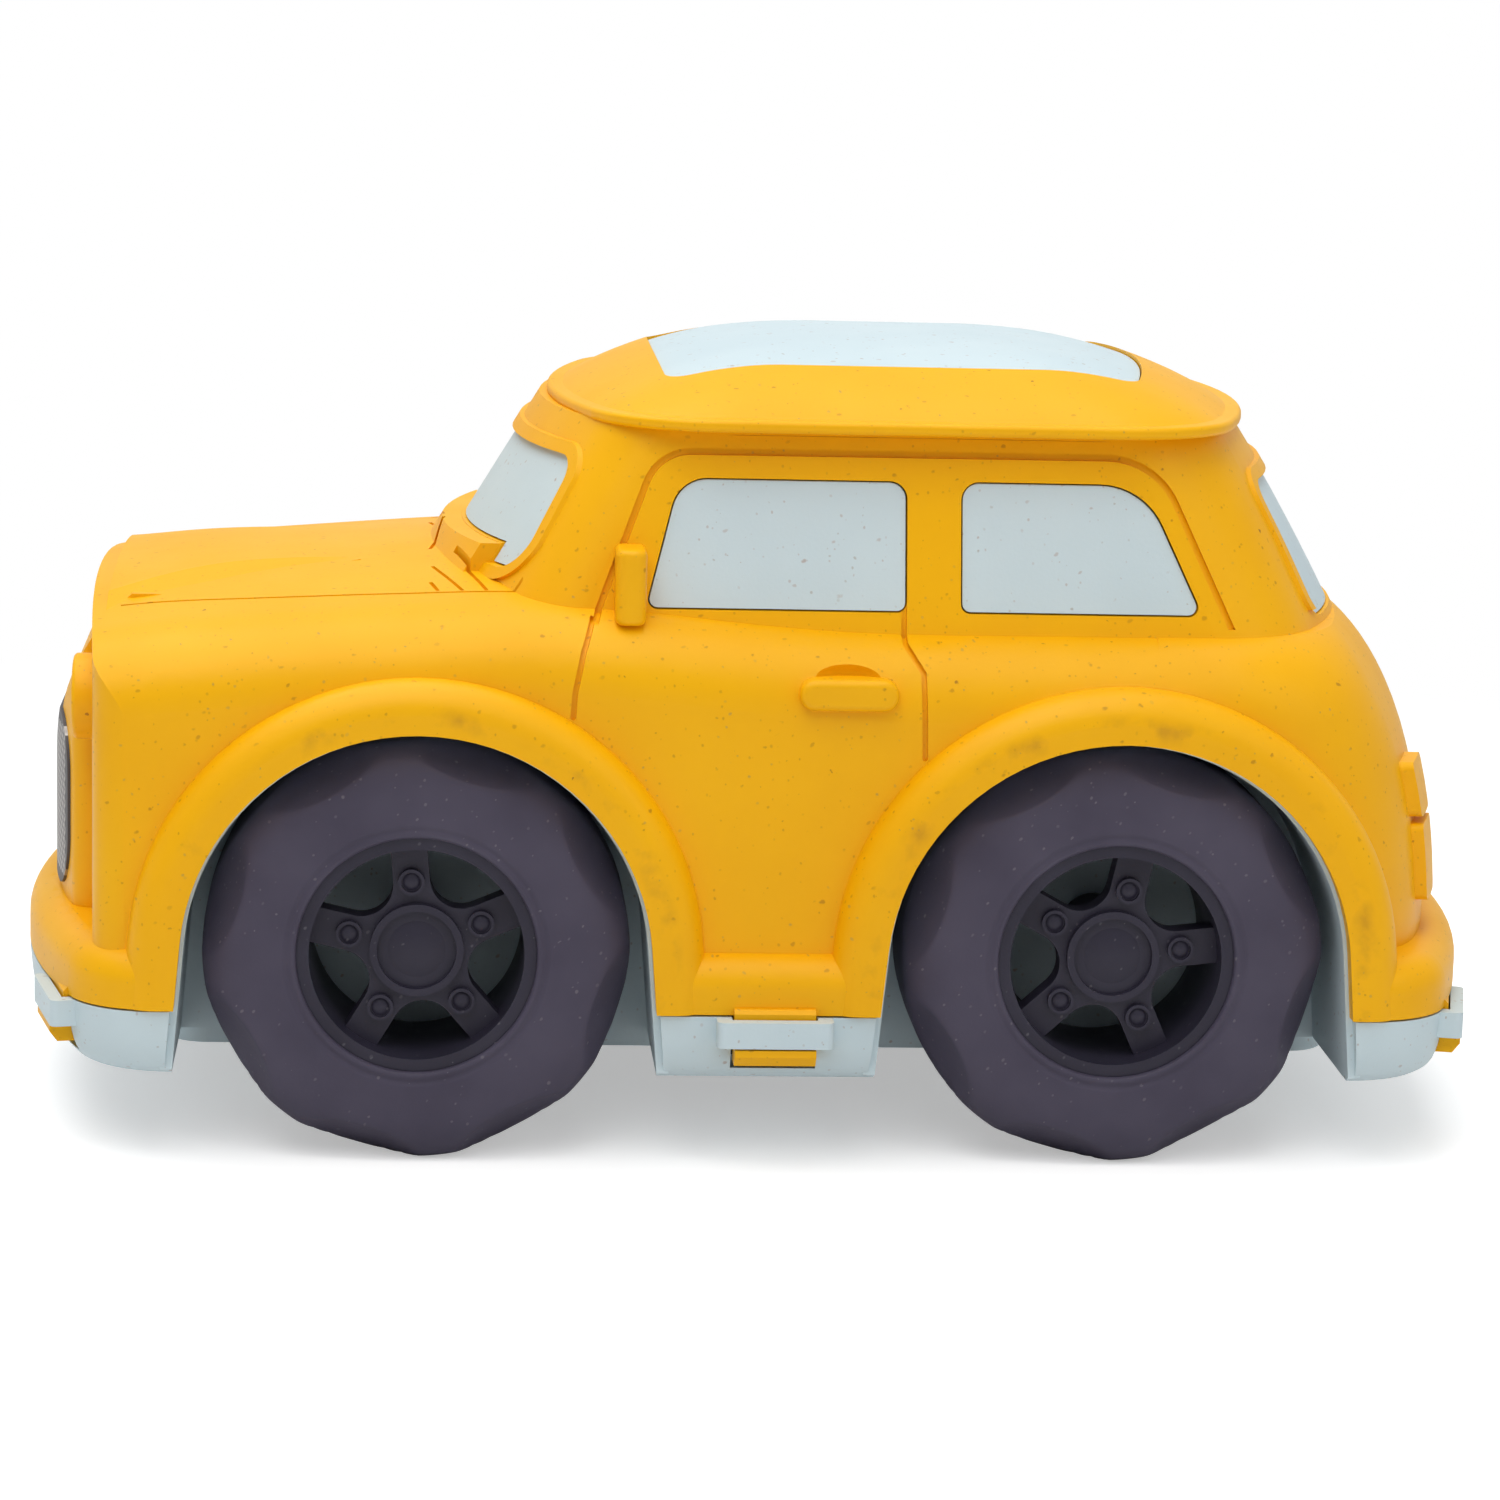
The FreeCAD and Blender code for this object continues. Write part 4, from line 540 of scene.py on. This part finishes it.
scoop_turn = math.radians(74)
left_tyre = grown(curve_of(profile), tyre_tree, Turn=scoop_turn, Finish=tyre_rubber)
print("one tyre:", len(left_tyre.vertices), "points,", len(left_tyre.polygons), "faces")

# %% [markdown]
# The one finished tyre is copied to its four places. The right-hand ones are mirrored, so their faces
# are turned round again to look outward.

# %% Place the four tyres
def face_outward(mesh):
    """Turns the faces of a closed mesh round if they look inward."""
    mesh.update()
    if sum(face.area * face.normal.dot(face.center) for face in mesh.polygons) < 0:
        mesh.flip_normals()


def placed_tyre(node, axle_x, side):
    mesh = left_tyre.copy()
    for vertex in mesh.vertices:
        x, deep, z = vertex.co
        vertex.co = (x + axle_x * MM, side * (TYRE_FACE_Y * MM - deep), z + AXLE_Z * MM)
    face_outward(mesh)
    mesh.name = node + "_form"
    piece = bpy.data.objects.new(node + "_form", mesh)
    bpy.context.scene.collection.objects.link(piece)
    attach(piece, "front_wheels" if axle_x < 0 else "rear_wheels")
    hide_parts(node)
    return piece


for end, axle_x in (("front", -AXLE_X), ("rear", AXLE_X)):
    for name, side in (("left", -1), ("right", 1)):
        tyre = placed_tyre(f"{end}_tyre_{name}", axle_x, side)
        print(tyre.name, [round(value / MM, 1) for value in tyre.dimensions])

# %% [markdown]
# ## Floor, light and camera
#
# The toy stands on a pale floor under large soft lamps, as on a product table. The floor and the
# world look white to the camera without throwing more light on the car. To the light itself, the
# world is brighter behind the car than in front, so the hood and the roof catch a soft sheen.

# %% Floor and world
FADE_START, FADE_END = 0.13, 0.26  # distance from the car where the floor turns to plain white, m
WORLD_FRONT, WORLD_BEHIND = 0.24, 0.62


def white_floor(half_size):
    """A white floor that keeps the car's shadow near the car."""
    mesh = bpy.data.meshes.new("floor")
    corners = [(-half_size, -half_size, 0), (half_size, -half_size, 0),
               (half_size, half_size, 0), (-half_size, half_size, 0)]
    mesh.from_pydata(corners, [], [(0, 1, 2, 3)])
    floor = bpy.data.objects.new("floor", mesh)
    bpy.context.scene.collection.objects.link(floor)
    material = bpy.data.materials.new("floor_white")
    material.use_nodes = True
    tree = material.node_tree
    tree.nodes.clear()
    paper = add(tree, "ShaderNodeBsdfDiffuse", {"Color": (0.8, 0.8, 0.8, 1.0)})
    seen = add(tree, "ShaderNodeLightPath").outputs["Is Camera Ray"]
    lift = math_node(tree, "MULTIPLY", seen, 0.42)
    glow = add(tree, "ShaderNodeEmission", {"Color": (1, 1, 1, 1), "Strength": lift})
    both = add(tree, "ShaderNodeAddShader", {0: paper.outputs[0], 1: glow.outputs[0]})
    place = add(tree, "ShaderNodeTexCoord").outputs["Object"]
    away = add(tree, "ShaderNodeVectorMath", {0: place}, operation="LENGTH").outputs["Value"]
    far = add(tree, "ShaderNodeMapRange", {"Value": away, "From Min": FADE_START, "From Max": FADE_END})
    blank = add(tree, "ShaderNodeEmission", {"Color": (1, 1, 1, 1), "Strength": 1.0})
    share = math_node(tree, "MULTIPLY", far.outputs[0], seen)
    fade = add(tree, "ShaderNodeMixShader", {0: share, 1: both.outputs[0], 2: blank.outputs[0]})
    add(tree, "ShaderNodeOutputMaterial", {0: fade.outputs[0]})
    mesh.materials.append(material)
    return floor


floor = white_floor(3.0)
world = bpy.data.worlds.new("studio")
bpy.context.scene.world = world
world.use_nodes = True
sky = world.node_tree
path = add(sky, "ShaderNodeLightPath")
seen = math_node(sky, "MAXIMUM", path.outputs["Is Camera Ray"], path.outputs["Is Transmission Ray"])
background = sky.nodes["Background"]
background.inputs["Color"].default_value = (1, 1, 1, 1)
direction = add(sky, "ShaderNodeTexCoord").outputs["Generated"]
toward_back = add(sky, "ShaderNodeSeparateXYZ", {0: direction}).outputs[1]
behind = add(sky, "ShaderNodeMapRange", {"Value": toward_back, "From Min": -0.6, "From Max": 0.8,
                                         "To Min": WORLD_FRONT, "To Max": WORLD_BEHIND})
level = add(sky, "ShaderNodeMapRange", {"Value": seen, "To Min": behind.outputs[0], "To Max": 1.0})
sky.links.new(level.outputs[0], background.inputs["Strength"])
print("floor and world ready")

# %% Lamps
def soft_lamp(name, place, aim, size, power):
    """A square area lamp that points at aim."""
    lamp = bpy.data.lights.new(name, "AREA")
    lamp.shape = "SQUARE"
    lamp.size = size
    lamp.energy = power
    holder = bpy.data.objects.new(name, lamp)
    bpy.context.scene.collection.objects.link(holder)
    holder.location = place
    holder.rotation_euler = (Vector(aim) - Vector(place)).to_track_quat("-Z", "Y").to_euler()
    return holder


middle = (0, 0, 0.04)
soft_lamp("overhead", (-0.16, 0.05, 0.88), middle, 0.9, 5.7)
soft_lamp("front_side", (-0.14, -0.62, 0.86), middle, 0.7, 3.7)
soft_lamp("fill_right", (0.7, -0.6, 0.6), middle, 0.7, 1.55)

# %% Camera
def aimed_camera(place, yaw, pitch, roll, lens):
    """A camera that looks along +Y, turned by yaw towards +X, tipped down by pitch, and rolled."""
    forward = Vector((math.sin(yaw) * math.cos(pitch), math.cos(yaw) * math.cos(pitch), -math.sin(pitch)))
    level_right = Vector((math.cos(yaw), -math.sin(yaw), 0))
    level_up = level_right.cross(forward)
    right = level_right * math.cos(roll) + level_up * math.sin(roll)
    up = level_up * math.cos(roll) - level_right * math.sin(roll)
    data = bpy.data.cameras.new("camera")
    data.lens = lens
    data.sensor_width = 36
    holder = bpy.data.objects.new("camera", data)
    bpy.context.scene.collection.objects.link(holder)
    turn = Matrix((right, up, -forward)).transposed().to_4x4()
    holder.matrix_world = Matrix.Translation(place) @ turn
    return holder


camera = aimed_camera(Vector((-35.86, -464.98, 125.27)) * MM, 0.0781, 0.1924, 0.0282, 108)
bpy.context.scene.camera = camera
bpy.context.scene.view_settings.view_transform = "Standard"
print("camera at", [round(value, 3) for value in camera.location])
